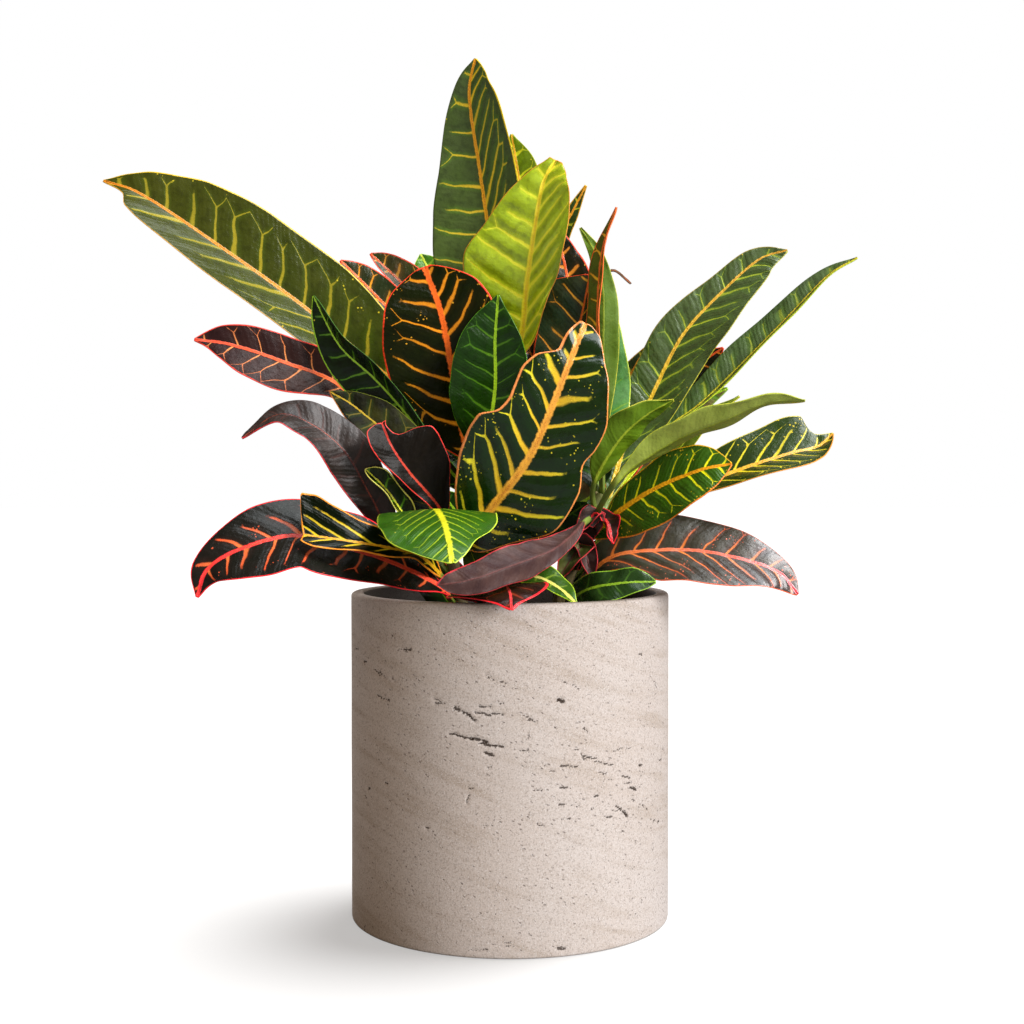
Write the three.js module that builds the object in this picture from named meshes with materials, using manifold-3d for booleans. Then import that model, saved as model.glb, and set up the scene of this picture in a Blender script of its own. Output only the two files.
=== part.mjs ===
// A croton in a round stone-like pot, in millimetres. +Z is up, the front is towards -Y, and the
// origin is the centre of the pot's flat foot.
import * as THREE from "three";
import Module from "manifold-3d";

const wasm = await Module();
wasm.setup();

// Driving sizes. The pot's outside diameter sets the scale of everything else.
const POT = { radius: 100, height: 204, wall: 8.4, floor: 12, rim: 2.2, foot: 1.4, sides: 48 };
const GAP = 0.3; // air left between bodies that touch on the real plant
const SOIL = { level: 178, dip: 2, ripple: 1.4, sides: 36, rings: [1, 0.7, 0.35] };
const STEM_SIDES = 8;
const STEM_STEPS = 8;

// The woody stems, from inside the soil to the crown: points of the axis, and the radius at each.
const STEMS = {
  main: {
    path: [[-4, 12, 160], [-9, 14, 230], [-14, 12, 280], [-12, 8, 332]],
    radius: [6, 5.4, 4.6, 3.4],
  },
  right: {
    path: [[22, -10, 160], [36, -20, 215], [50, -26, 248], [56, -26, 266]],
    radius: [5.5, 5, 4.2, 3.4],
  },
  left: {
    path: [[-24, -30, 160], [-30, -38, 200], [-34, -44, 222], [-36, -46, 240]],
    radius: [5, 4.6, 4, 3.2],
  },
  back: {
    path: [[4, 42, 160], [8, 52, 215], [6, 60, 245], [2, 64, 262]],
    radius: [5, 4.6, 4, 3.2],
  },
};

const POT_COLOR = 0xcdbcb0;
const SOIL_COLOR = 0x2e2119;
const STEM_COLOR = 0x6d6a3a;

// Base colours of the leaf finishes.
const LOOKS = {
  deep: 0x2d4a2a,
  gold: 0x3c4620,
  ember: 0x3a2418,
  sage: 0x5c6a30,
  lime: 0xa4b42c,
  green: 0x2c6a2c,
  leafgreen: 0x5a8a2c,
  maroon: 0x5a2430,
  crimson: 0x6e1c22,
  olive: 0x748238,
  dusk: 0x6a3a3c,
  withered: 0x6a4630,
};

// A leaf's half width along its blade, as a share of the widest, where no outline is given.
const USUAL_OUTLINE = [
  [0.08, 0.42], [0.2, 0.78], [0.35, 0.97], [0.5, 1], [0.65, 0.9], [0.8, 0.66], [0.9, 0.4],
];
const STALK_HALF = 1.6;
const STALK_DEPTH = 3;
const BLADE_DEPTH = 0.9;
const TIP_HALF = 0.9;
const RIB_REACH = 0.9; // share of the blade's length over which the midrib thins out
const RIB_TAPER = 0.6;
const FULL_FOLD = 0.25; // share of the blade's length by which its halves have risen all the way
const WAVE_FADE = 0.7;
const WAVES = 3; // ruffles along each edge
const SIDE_SHIFT = 1.9; // radians by which the left edge's ruffles lead the right edge's
const LEAF_SHIFT = 1.7; // and one leaf's ruffles the next leaf's
const USUAL = { stalk: 0.14, wave: 1.2, curl: [0, 0], sweep: 0, tipHalf: TIP_HALF, steps: 10 };
const HIDDEN_STEPS = 8;
const CROWDING = 1.3; // how much closer a blade's stations lie towards its tip
const ACROSS = [-1, -0.5, 0, 0.5, 1];

// One row a leaf. at: how far up the stem its stalk leaves. via and tip: points of the midrib.
// facing: where the upper side looks, from base to tip. fold: degrees that the left and right
// halves rise, and curl: by how much more their edges do. outline: [share of the blade's length,
// half width left, half width right]. wide: the usual outline's width. stalk: the stalk's share of
// the midrib. wave: the ruffles' height. sweep: how far the edges lead the midrib, as a share of
// the half width. tipHalf: half width of the blunt tip. steps: stations along the blade.
const LEAVES = [
  {
    name: "leaf_top_tall", look: "deep", stem: "main", at: 0.94,
    via: [[-5, 22, 368], [-12, 26, 423], [-19, 25, 471], [-26, 19, 520]], tip: [-22, 14, 543],
    facing: [[-0.3, -1, 0.1]], fold: [12, 22], stalk: 0.16,
    outline: [[0.06, 9, 6], [0.15, 22, 14], [0.25, 33, 22], [0.36, 38, 27], [0.5, 35, 29],
      [0.65, 26, 28], [0.8, 18, 25], [0.9, 10, 20], [0.96, 5, 13]],
  },
  {
    name: "leaf_top_behind", look: "sage", stem: "main", at: 0.89,
    via: [[0, 52, 380], [7, 62, 430], [7, 64, 467]], tip: [1, 60, 505],
    facing: [[0.1, -1, 0.1]], fold: [10, 10], steps: HIDDEN_STEPS,
    outline: [[0.1, 10, 10], [0.25, 19, 18], [0.45, 24, 22], [0.65, 22, 19], [0.8, 17, 16], [0.9, 11, 12]],
  },
  {
    name: "leaf_top_lime", look: "lime", stem: "main", at: 1,
    via: [[6, 2, 360], [11, -4, 400], [16, -8, 434], [21, -8, 460]], tip: [29, -8, 474],
    facing: [[-0.3, -1, 0.1], [-0.4, -1, 0.1]], fold: [8, 20], tipHalf: 5,
    outline: [[0.06, 8, 5], [0.15, 18, 10], [0.25, 31, 14], [0.35, 40, 18], [0.48, 43, 24],
      [0.65, 33, 26], [0.8, 22, 24], [0.9, 12, 20], [0.96, 7, 14]],
  },
  {
    name: "leaf_small_dark", look: "deep", stem: "main", at: 0.85,
    via: [[18, 44, 374], [30, 50, 429], [41, 48, 451]], tip: [50, 44, 468],
    facing: [[0.2, -1, 0.1]], fold: [10, 10], steps: HIDDEN_STEPS, wide: 20,
  },
  {
    name: "leaf_red_margin", look: "ember", stem: "main", at: 0.74,
    via: [[27, 28, 366], [37, 32, 399], [34, 34, 422]], tip: [30, 34, 440],
    facing: [[0.1, -1, 0.1]], fold: [8, 8],
    outline: [[0.2, 6, 9], [0.4, 15, 17], [0.55, 18, 18], [0.7, 17, 17], [0.82, 12, 13], [0.92, 6, 7]],
  },
  {
    name: "leaf_black_orange", look: "ember", stem: "main", at: 0.7,
    via: [[24, 12, 319], [37, 15, 348], [45, 15, 375]], tip: [51, 10, 405],
    facing: [[-0.3, -1, 0.1]], fold: [6, 52], stalk: 0.2, tipHalf: 3,
    outline: [[0.1, 8, 8], [0.25, 16, 14], [0.4, 21, 16], [0.55, 25, 16], [0.7, 27, 14],
      [0.82, 28, 10], [0.92, 25, 6]],
  },
  {
    name: "leaf_edge_on", look: "ember", stem: "right", at: 1,
    via: [[55, -34, 290], [52, -40, 323], [53, -38, 359], [54, -36, 393], [57, -34, 417]],
    tip: [65, -30, 441],
    facing: [[-0.7, -0.7, 0]], fold: [0, 46],
    outline: [[0.1, 4, 4], [0.3, 8, 9], [0.5, 10, 12], [0.7, 9, 11], [0.85, 6, 8], [0.94, 3, 4]],
  },
  {
    name: "leaf_upright_olive", look: "olive", stem: "right", at: 0.94,
    via: [[56, -15, 284], [57, -19, 312], [58, -18, 361], [58, -14, 392], [54, -11, 414]],
    tip: [44, -8, 432],
    facing: [[0.25, 1, 0]], fold: [10, 10],
    outline: [[0.15, 4, 5], [0.35, 8, 8], [0.5, 10, 10], [0.65, 9, 9], [0.8, 6, 6], [0.9, 4, 4]],
  },
  {
    name: "leaf_glossy_right", look: "green", stem: "right", at: 0.91,
    via: [[54, -7, 276], [58, -7, 299], [61, -5, 331], [61, -4, 360]], tip: [63, -3, 385],
    facing: [[-0.1, -1, 0.1]], fold: [8, 8],
    outline: [[0.2, 7, 9], [0.4, 12, 15], [0.55, 13, 15], [0.7, 11, 13], [0.85, 7, 9], [0.94, 3, 5]],
  },
  {
    name: "leaf_round_ember", look: "ember", stem: "main", at: 0.6,
    via: [[-28, -16, 299], [-36, -28, 344], [-42, -34, 376]], tip: [-52, -36, 404],
    facing: [[0, -1, 0.1], [0.05, -1, 0.1]], fold: [8, 8], stalk: 0.2, tipHalf: 4,
    outline: [[0.06, 7, 5], [0.15, 16, 10], [0.25, 26, 16], [0.35, 33, 22], [0.5, 39, 29], [0.62, 40, 33],
      [0.74, 38, 33], [0.85, 34, 28], [0.93, 26, 18], [0.98, 12, 9]],
  },
  {
    name: "leaf_green_front", look: "green", stem: "main", at: 0.66,
    via: [[-13, -30, 299], [-9, -38, 331], [-9, -42, 359]], tip: [-7, -44, 386],
    facing: [[0, -1, 0.1]], fold: [12, 12], stalk: 0.22,
    outline: [[0.08, 8, 7], [0.2, 16, 13], [0.32, 24, 18], [0.45, 28, 20], [0.6, 27, 20],
      [0.75, 22, 17], [0.87, 14, 10], [0.95, 6, 4]],
  },
  {
    name: "leaf_big_left", look: "sage", stem: "main", at: 0.55,
    via: [[-47, 4, 317], [-79, 7, 341], [-128, -1, 382], [-178, -8, 418], [-229, -9, 452]],
    tip: [-255, -4, 462],
    facing: [[0.1, -1, 0.3], [0.1, -1, 0.25]], fold: [36, 8], stalk: 0.1, steps: 13,
    outline: [[0.06, 8, 7], [0.15, 17, 16], [0.25, 24, 24], [0.37, 28, 32], [0.5, 29, 36], [0.65, 30, 36],
      [0.8, 25, 30], [0.87, 22, 22], [0.915, 17, 16], [0.94, 7, 11], [0.97, 3, 6]],
  },
  {
    name: "leaf_narrow_left", look: "green", stem: "main", at: 0.5,
    via: [[-44, -32, 290], [-64, -38, 316], [-82, -42, 336], [-103, -43, 356]], tip: [-119, -40, 386],
    facing: [[-0.3, -1, 0.2]], fold: [4, 60], stalk: 0.16,
    outline: [[0.1, 8, 4], [0.25, 15, 7], [0.4, 19, 11], [0.55, 20, 14], [0.7, 17, 15],
      [0.82, 12, 12], [0.93, 7, 7]],
  },
  {
    name: "leaf_maroon_left", look: "maroon", stem: "left", at: 0.7,
    via: [[-52, -32, 254], [-78, -24, 300], [-104, -28, 332], [-137, -38, 346], [-168, -44, 356]],
    tip: [-190, -46, 359],
    facing: [[0.1, -1, 0.2]], fold: [10, 10], stalk: 0.2, steps: 11,
    outline: [[0.08, 4, 4], [0.2, 5, 6], [0.35, 7, 9], [0.48, 9, 12], [0.6, 15, 16], [0.72, 19, 16],
      [0.82, 17, 15], [0.91, 10, 11], [0.97, 3, 5]],
  },
  {
    name: "leaf_olive_left", look: "olive", stem: "left", at: 0.8,
    via: [[-50, -45, 262], [-66, -51, 294], [-91, -55, 317]], tip: [-107, -56, 327],
    facing: [[0.3, -1, 0.3]], fold: [8, 8], stalk: 0.08,
    outline: [[0.1, 8, 8], [0.25, 12, 13], [0.45, 14, 17], [0.7, 14, 16], [0.88, 9, 9]],
  },
  {
    name: "leaf_arching_maroon", look: "maroon", stem: "left", at: 0.62,
    via: [[-66, -54, 234], [-82, -62, 264], [-97, -68, 291], [-116, -70, 307], [-136, -70, 313]],
    tip: [-157, -72, 299],
    facing: [[-0.4, -1, 0.5], [-0.2, -0.6, 1]], fold: [14, 14], stalk: 0.22,
    outline: [[0.1, 5, 6], [0.25, 10, 12], [0.4, 14, 15], [0.55, 16, 16], [0.7, 15, 14], [0.82, 12, 9],
      [0.91, 7, 5], [0.97, 3, 3]],
  },
  {
    name: "leaf_notched_maroon", look: "maroon", stem: "left", at: 1,
    via: [[-42, -60, 258], [-59, -70, 279], [-69, -74, 294]], tip: [-75, -74, 308],
    facing: [[0.3, -1, 0.2]], fold: [16, 10], stalk: 0.16, tipHalf: 3, sweep: 0.2,
    outline: [[0.08, 3, 6], [0.2, 5, 14], [0.32, 6, 23], [0.5, 8, 28], [0.65, 10, 27], [0.76, 12, 20],
      [0.84, 13, 7], [0.92, 12, 3], [0.97, 8, 2]],
  },
  {
    name: "leaf_small_curled", look: "green", stem: "left", at: 0.7,
    via: [[-52, -54, 236], [-63, -61, 254], [-73, -67, 269]], tip: [-85, -70, 281],
    facing: [[0.6, -0.8, 0.3]], fold: [30, 30], curl: [40, 40], stalk: 0.2,
    outline: [[0.3, 6, 6], [0.6, 10, 9], [0.85, 11, 9], [0.95, 8, 6]],
  },
  {
    name: "leaf_folded_gold", look: "gold", stem: "left", at: 0.55,
    via: [[-50, -73, 228], [-67, -92, 235], [-90, -106, 240]], tip: [-116, -112, 244],
    facing: [[0, -1, 0.5]], fold: [30, 14], stalk: 0.2, tipHalf: 5, sweep: 0.3,
    outline: [[0.1, 4, 5], [0.3, 6, 8], [0.5, 8, 11], [0.65, 8, 14], [0.8, 9, 19], [0.9, 9, 24],
      [0.97, 7, 24]],
  },
  {
    name: "leaf_low_left", look: "crimson", stem: "left", at: 0.42,
    via: [[-41, -60, 211], [-73, -78, 228], [-103, -94, 238], [-124, -102, 243], [-151, -110, 236],
      [-169, -114, 225]],
    tip: [-175, -116, 209],
    facing: [[0, -1, 0.9], [0, -1, 0.8]], fold: [10, 10], stalk: 0.1,
    outline: [[0.06, 4, 3], [0.15, 12, 8], [0.27, 21, 18], [0.4, 25, 24], [0.55, 27, 25], [0.7, 28, 23],
      [0.82, 22, 17], [0.91, 13, 10], [0.97, 4, 4]],
  },
  {
    name: "leaf_lime_front", look: "lime", stem: "left", at: 0.88,
    via: [[-43, -84, 257], [-37, -116, 252], [-33, -136, 241]], tip: [-31, -148, 230],
    facing: [[0, -0.3, 1]], fold: [-6, -6], stalk: 0.2, tipHalf: 2,
    outline: [[0.06, 8, 8], [0.15, 21, 19], [0.27, 31, 31], [0.4, 34, 35], [0.55, 32, 36], [0.7, 25, 34],
      [0.82, 15, 27], [0.92, 9, 17]],
  },
  {
    name: "leaf_dusky_front", look: "dusk", stem: "right", at: 0.8,
    via: [[46, -50, 249], [28, -89, 236], [13, -103, 230], [-3, -113, 225], [-15, -121, 221],
      [-28, -126, 218]],
    tip: [-40, -130, 217],
    facing: [[0.1, 0.9, -0.5]], fold: [8, 50], stalk: 0.22,
    outline: [[0.1, 6, 4], [0.25, 10, 6], [0.4, 14, 9], [0.55, 14, 11], [0.7, 13, 11],
      [0.85, 10, 9], [0.94, 7, 6]],
  },
  {
    name: "leaf_over_rim", look: "crimson", stem: "left", at: 0.34,
    via: [[-12, -62, 207], [-4, -88, 214], [0, -104, 211]], tip: [1, -117, 202],
    facing: [[0, -0.4, 1]], fold: [-4, -4], stalk: 0.2, wave: 0.6,
    outline: [[0.15, 8, 9], [0.3, 17, 20], [0.5, 24, 33], [0.68, 25, 35], [0.82, 16, 24], [0.92, 6, 9]],
  },
  {
    name: "leaf_rim_green", look: "leafgreen", stem: "main", at: 0.14,
    via: [[-4, -22, 206], [5, -42, 216], [18, -56, 216], [30, -66, 210]], tip: [39, -75, 202],
    facing: [[0.3, -0.8, 0.7]], fold: [10, 10], stalk: 0.34,
    outline: [[0.15, 6, 5], [0.35, 10, 8], [0.55, 11, 9], [0.8, 8, 6]],
  },
  {
    name: "leaf_rim_dark", look: "green", stem: "right", at: 0.27,
    via: [[44, -46, 207], [66, -58, 213]], tip: [87, -60, 214],
    facing: [[0, -1, 0.5]], fold: [10, 10],
    outline: [[0.15, 6, 6], [0.35, 9, 11], [0.6, 9, 12], [0.8, 9, 8], [0.92, 6, 5]],
  },
  {
    name: "leaf_low_right", look: "crimson", stem: "right", at: 0.41,
    via: [[48, -28, 216], [67, -35, 229], [108, -43, 232], [139, -52, 227], [161, -55, 219]],
    tip: [172, -56, 206],
    facing: [[0, -1, 0.8]], fold: [10, 10], stalk: 0.1,
    outline: [[0.06, 7, 6], [0.15, 14, 10], [0.27, 21, 17], [0.4, 24, 26], [0.55, 22, 27], [0.7, 18, 24],
      [0.82, 13, 18], [0.91, 8, 12], [0.97, 4, 5]],
  },
  {
    name: "leaf_mid_right", look: "gold", stem: "right", at: 0.63,
    via: [[57, -31, 247], [83, -50, 267], [111, -68, 280]], tip: [130, -74, 284],
    facing: [[-0.1, -1, 0.5]], fold: [10, 10], stalk: 0.12,
    outline: [[0.06, 3, 7], [0.15, 5, 13], [0.25, 9, 19], [0.38, 13, 24], [0.52, 16, 26], [0.67, 18, 25],
      [0.8, 17, 20], [0.9, 12, 14], [0.96, 6, 7]],
  },
  {
    name: "leaf_far_right", look: "gold", stem: "right", at: 0.57,
    via: [[86, -23, 258], [116, -32, 271], [147, -34, 283], [173, -32, 291], [189, -29, 295]],
    tip: [199, -26, 303],
    facing: [[-0.1, -1, 0.4]], fold: [10, 48], stalk: 0.2, steps: 12,
    outline: [[0.1, 5, 5], [0.25, 9, 9], [0.4, 14, 13], [0.55, 18, 18], [0.7, 21, 22], [0.8, 23, 23],
      [0.88, 21, 17], [0.93, 9, 10], [0.97, 4, 5]],
  },
  {
    name: "leaf_long_olive", look: "olive", stem: "right", at: 0.84,
    via: [[60, -57, 270], [69, -62, 280], [97, -66, 298], [126, -72, 310], [151, -74, 320]],
    tip: [173, -72, 321],
    facing: [[0, 0.6, 1]], fold: [14, 26], stalk: 0.26,
    outline: [[0.08, 4, 5], [0.2, 7, 10], [0.35, 9, 13], [0.5, 10, 13], [0.65, 9, 10],
      [0.8, 6, 7], [0.92, 3, 4]],
  },
  {
    name: "leaf_short_olive", look: "olive", stem: "right", at: 0.9,
    via: [[50, -44, 268], [54, -53, 281], [67, -59, 301], [82, -62, 314]], tip: [97, -62, 322],
    facing: [[0.2, 0.7, 0.8]], fold: [16, 16], stalk: 0.3,
    outline: [[0.15, 6, 8], [0.35, 9, 12], [0.55, 10, 13], [0.75, 8, 9], [0.9, 5, 4]],
  },
  {
    name: "leaf_broad_right", look: "deep", stem: "right", at: 0.73,
    via: [[61, -13, 262], [73, 3, 297], [88, 8, 323], [109, 8, 365], [135, 6, 394], [158, 4, 414]],
    tip: [175, 0, 419],
    facing: [[-0.1, -1, 0.3], [-0.3, -1, 0.4]], fold: [12, 12],
    outline: [[0.06, 6, 6], [0.15, 11, 12], [0.25, 15, 17], [0.38, 18, 21], [0.52, 18, 24], [0.66, 15, 25],
      [0.78, 12, 20], [0.88, 10, 16], [0.95, 5, 10]],
  },
  {
    name: "leaf_narrow_right", look: "deep", stem: "right", at: 0.67,
    via: [[90, 16, 297], [123, 19, 324], [150, 19, 350], [179, 15, 380], [202, 10, 404]],
    tip: [220, 4, 415],
    facing: [[-0.3, -1, 0.5], [-0.3, -1, 0.6]], fold: [14, 56], stalk: 0.2,
    outline: [[0.1, 5, 4], [0.25, 9, 7], [0.4, 13, 9], [0.55, 14, 10], [0.7, 12, 9],
      [0.82, 9, 7], [0.92, 5, 4]],
  },
  {
    name: "leaf_ember_right", look: "ember", stem: "right", at: 0.6,
    via: [[84, 31, 297], [105, 39, 332], [124, 41, 350]], tip: [140, 39, 361],
    facing: [[-0.2, -1, 0.3]], fold: [12, 12], steps: HIDDEN_STEPS,
    outline: [[0.3, 8, 8], [0.5, 10, 11], [0.7, 9, 12], [0.85, 7, 11], [0.94, 5, 7]],
  },
  {
    name: "leaf_dull_right", look: "green", stem: "main", at: 0.44,
    via: [[40, 30, 256], [88, 44, 287], [119, 49, 321]], tip: [144, 47, 335],
    facing: [[-0.2, -1, 0.3]], fold: [12, 12], steps: HIDDEN_STEPS, wide: 36,
  },
  {
    name: "leaf_hidden_right", look: "deep", stem: "main", at: 0.54,
    via: [[24, 30, 284], [62, 36, 318]], tip: [90, 40, 362],
    facing: [[-0.2, -1, 0.3]], fold: [12, 12], steps: HIDDEN_STEPS, wide: 26,
  },
  {
    name: "leaf_olive_tip", look: "olive", stem: "right", at: 0.46,
    via: [[92, 4, 274], [122, 12, 311]], tip: [147, 14, 328],
    facing: [[0, -0.6, 1]], fold: [12, 12], steps: HIDDEN_STEPS, wide: 20,
  },
  {
    name: "leaf_withered_tip", look: "withered", stem: "main", at: 0.72,
    via: [[28, 50, 350], [52, 56, 396], [67, 52, 413]], tip: [80, 48, 404],
    facing: [[0, -0.6, 1]], fold: [30, 30], steps: HIDDEN_STEPS, wide: 7, wave: 0,
  },
  {
    name: "leaf_ember_left", look: "ember", stem: "main", at: 0.6,
    via: [[-56, 30, 358], [-85, 40, 392]], tip: [-111, 38, 418],
    facing: [[0.2, -1, 0.3]], fold: [12, 12], steps: HIDDEN_STEPS,
    outline: [[0.2, 8, 8], [0.4, 13, 13], [0.6, 14, 15], [0.8, 10, 14], [0.9, 7, 11], [0.96, 4, 6]],
  },
  {
    name: "leaf_ember_middle", look: "ember", stem: "main", at: 0.68,
    via: [[-46, 52, 374], [-68, 55, 401]], tip: [-93, 56, 425],
    facing: [[0.2, -1, 0.3]], fold: [12, 12], steps: HIDDEN_STEPS,
    outline: [[0.2, 7, 8], [0.4, 10, 13], [0.6, 9, 16], [0.8, 6, 16], [0.9, 5, 12], [0.96, 3, 7]],
  },
  {
    name: "leaf_green_middle", look: "leafgreen", stem: "main", at: 0.83,
    via: [[-16, 50, 346], [-36, 72, 378], [-48, 78, 403]], tip: [-61, 80, 428],
    facing: [[0.1, -1, 0.3]], fold: [12, 12], steps: HIDDEN_STEPS,
    outline: [[0.2, 9, 9], [0.45, 15, 15], [0.65, 16, 15], [0.8, 15, 13], [0.9, 12, 11], [0.96, 8, 7]],
  },
  {
    name: "leaf_drooped", look: "dusk", stem: "right", at: 0.5,
    via: [[44, -38, 233], [38, -44, 228]], tip: [29, -46, 214],
    facing: [[-0.2, -1, 0.3]], fold: [34, 34], curl: [30, 30], steps: HIDDEN_STEPS, wide: 22,
  },
  {
    name: "leaf_front_gold", look: "gold", stem: "left", at: 0.95,
    via: [[-23, -66, 242], [-10, -75, 259], [12, -85, 289], [30, -89, 331], [39, -86, 354]],
    tip: [44, -82, 365],
    facing: [[0, -1, 0.1]], fold: [6, 6], stalk: 0.08, wave: 0.8, steps: 17, tipHalf: 4,
    outline: [[0.05, 8, 10], [0.12, 16, 18], [0.22, 27, 30], [0.33, 36, 38], [0.44, 39, 36], [0.52, 38, 30],
      [0.58, 28, 33], [0.65, 25, 34], [0.74, 25, 30], [0.82, 20, 25], [0.87, 9, 20], [0.93, 8, 15],
      [0.97, 6, 11]],
  },
  {
    name: "leaf_shaded_front", look: "deep", stem: "main", at: 0.28,
    via: [[-2, -12, 213], [-3, -30, 226]], tip: [4, -46, 256],
    facing: [[-0.1, -1, 0.3]], fold: [8, 8], stalk: 0.3, wide: 54,
  },
  {
    name: "leaf_shaded_left", look: "green", stem: "main", at: 0.38,
    via: [[-21, -10, 238]], tip: [-43, -26, 268],
    facing: [[0.1, -1, 0.3]], fold: [8, 8], wide: 30,
  },
  {
    name: "leaf_back_high_left", look: "deep", stem: "main", at: 0.77,
    via: [[-26, 60, 322], [-38, 104, 362]], tip: [-48, 138, 388],
    facing: [[0.1, -0.7, 0.7]], fold: [12, 12], steps: HIDDEN_STEPS, wide: 50,
  },
  {
    name: "leaf_back_high_right", look: "gold", stem: "main", at: 0.65,
    via: [[22, 62, 340], [32, 92, 378]], tip: [44, 114, 398],
    facing: [[-0.1, -0.7, 0.7]], fold: [12, 12], steps: HIDDEN_STEPS, wide: 46,
  },
  {
    name: "leaf_back_middle", look: "ember", stem: "main", at: 0.58,
    via: [[-12, 70, 312], [-8, 130, 346]], tip: [-8, 184, 346],
    facing: [[0, -0.6, 0.8]], fold: [12, 12], steps: HIDDEN_STEPS, wide: 56,
  },
  {
    name: "leaf_back_left", look: "sage", stem: "back", at: 1,
    via: [[-30, 92, 290], [-70, 122, 308]], tip: [-106, 142, 312],
    facing: [[0.2, -0.4, 1]], fold: [12, 12], steps: HIDDEN_STEPS, wide: 48,
  },
  {
    name: "leaf_back_right", look: "deep", stem: "back", at: 0.9,
    via: [[40, 92, 290], [86, 122, 320]], tip: [122, 140, 338],
    facing: [[-0.2, -0.4, 1]], fold: [12, 12], steps: HIDDEN_STEPS, wide: 50,
  },
  {
    name: "leaf_back_low", look: "crimson", stem: "back", at: 0.74,
    via: [[6, 104, 262], [8, 152, 278]], tip: [12, 200, 272],
    facing: [[0, -0.5, 1]], fold: [10, 10], steps: HIDDEN_STEPS, wide: 56,
  },
  {
    name: "leaf_back_low_left", look: "maroon", stem: "back", at: 0.6,
    via: [[-32, 94, 234], [-76, 124, 240]], tip: [-116, 144, 224],
    facing: [[0, 0, 1]], fold: [10, 10], steps: HIDDEN_STEPS, wide: 50,
  },
  {
    name: "leaf_back_low_right", look: "gold", stem: "back", at: 0.54,
    via: [[42, 90, 232], [84, 116, 238]], tip: [122, 134, 226],
    facing: [[0, 0, 1]], fold: [10, 10], steps: HIDDEN_STEPS, wide: 50,
  },
  {
    name: "leaf_side_low_left", look: "crimson", stem: "main", at: 0.24,
    via: [[-58, 36, 226], [-104, 54, 236]], tip: [-146, 64, 220],
    facing: [[0, -0.1, 1]], fold: [10, 10], steps: HIDDEN_STEPS, wide: 46,
  },
  {
    name: "leaf_side_low_right", look: "maroon", stem: "right", at: 0.35,
    via: [[82, 14, 224], [122, 34, 232]], tip: [160, 50, 216],
    facing: [[0, -0.1, 1]], fold: [10, 10], steps: HIDDEN_STEPS, wide: 44,
  },
];

const vector = (p) => new THREE.Vector3(p[0], p[1], p[2]);
const radians = (degrees) => (degrees * Math.PI) / 180;
const curveThrough = (points) => new THREE.CatmullRomCurve3(points, false, "catmullrom", 0.5);

// A closed skin over rings of equal count, with a fan to a centre at each end. Rings run
// anticlockwise seen against the direction of travel. turned(k) picks the other diagonal.
function skin(rings, firstCentre, lastCentre, turned = () => false) {
  const count = rings[0].length;
  const points = [...rings.flat(), firstCentre, lastCentre];
  const first = points.length - 2;
  const last = points.length - 1;
  const faces = [];
  for (let s = 0; s + 1 < rings.length; s++)
    for (let k = 0; k < count; k++) {
      const a = s * count + k;
      const b = s * count + ((k + 1) % count);
      const c = b + count;
      const d = a + count;
      if (turned(k)) faces.push([a, b, d], [b, c, d]);
      else faces.push([a, b, c], [a, c, d]);
    }
  const end = (rings.length - 1) * count;
  for (let k = 0; k < count; k++) {
    faces.push([first, (k + 1) % count, k]);
    faces.push([last, end + k, end + ((k + 1) % count)]);
  }
  return solid(points, faces);
}

function solid(points, faces) {
  const vertProperties = new Float32Array(points.flatMap((p) => [p.x, p.y, p.z]));
  const triVerts = new Uint32Array(faces.flat());
  return new wasm.Manifold(new wasm.Mesh({ numProp: 3, vertProperties, triVerts }));
}

// A body of revolution about Z from [radius, height] pairs, which start and end on the axis.
function revolved(profile, sides) {
  const rings = profile.slice(1, -1).map(([r, z]) => {
    const ring = [];
    for (let k = 0; k < sides; k++) {
      const angle = (2 * Math.PI * k) / sides;
      ring.push(new THREE.Vector3(r * Math.cos(angle), r * Math.sin(angle), z));
    }
    return ring;
  });
  return skin(rings, vector([0, 0, profile[0][1]]), vector([0, 0, profile.at(-1)[1]]));
}

// A quarter round of the profile, from angle a to b in degrees about (r, z).
function arc(r, z, radius, a, b, steps = 2) {
  const points = [];
  for (let i = 0; i <= steps; i++) {
    const angle = radians(a + ((b - a) * i) / steps);
    points.push([r + radius * Math.cos(angle), z + radius * Math.sin(angle)]);
  }
  return points;
}

function pot() {
  const inner = POT.radius - POT.wall;
  return revolved(
    [
      [0, 0],
      ...arc(POT.radius - POT.foot, POT.foot, POT.foot, -90, 0),
      ...arc(POT.radius - POT.rim, POT.height - POT.rim, POT.rim, 0, 90),
      ...arc(inner + POT.rim / 2, POT.height - POT.rim / 2, POT.rim / 2, 90, 180),
      [inner, POT.floor],
      [0, POT.floor],
    ],
    POT.sides,
  );
}

// The soil fills the pot to its level, a little uneven on top, with a plain hole for each stem.
function soil(stems) {
  const edge = POT.radius - POT.wall - 2 * GAP;
  const foot = POT.floor + GAP;
  const ring = (r, height) => {
    const points = [];
    for (let k = 0; k < SOIL.sides; k++) {
      const angle = (2 * Math.PI * k) / SOIL.sides;
      points.push(new THREE.Vector3(r * Math.cos(angle), r * Math.sin(angle), height(angle)));
    }
    return points;
  };
  const surface = (share) => (angle) => {
    const uneven = Math.sin(3 * angle + 4 * share) * Math.cos(2 * angle);
    return SOIL.level + share * (SOIL.ripple * uneven - SOIL.dip);
  };
  const rings = [
    ring(edge, () => foot),
    ...SOIL.rings.map((share) => ring(edge * share, surface(share))),
  ];
  const heap = skin(rings, vector([0, 0, foot]), vector([0, 0, SOIL.level]));
  return stems.reduce((left, stem) => left.subtract(stem), heap);
}

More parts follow.
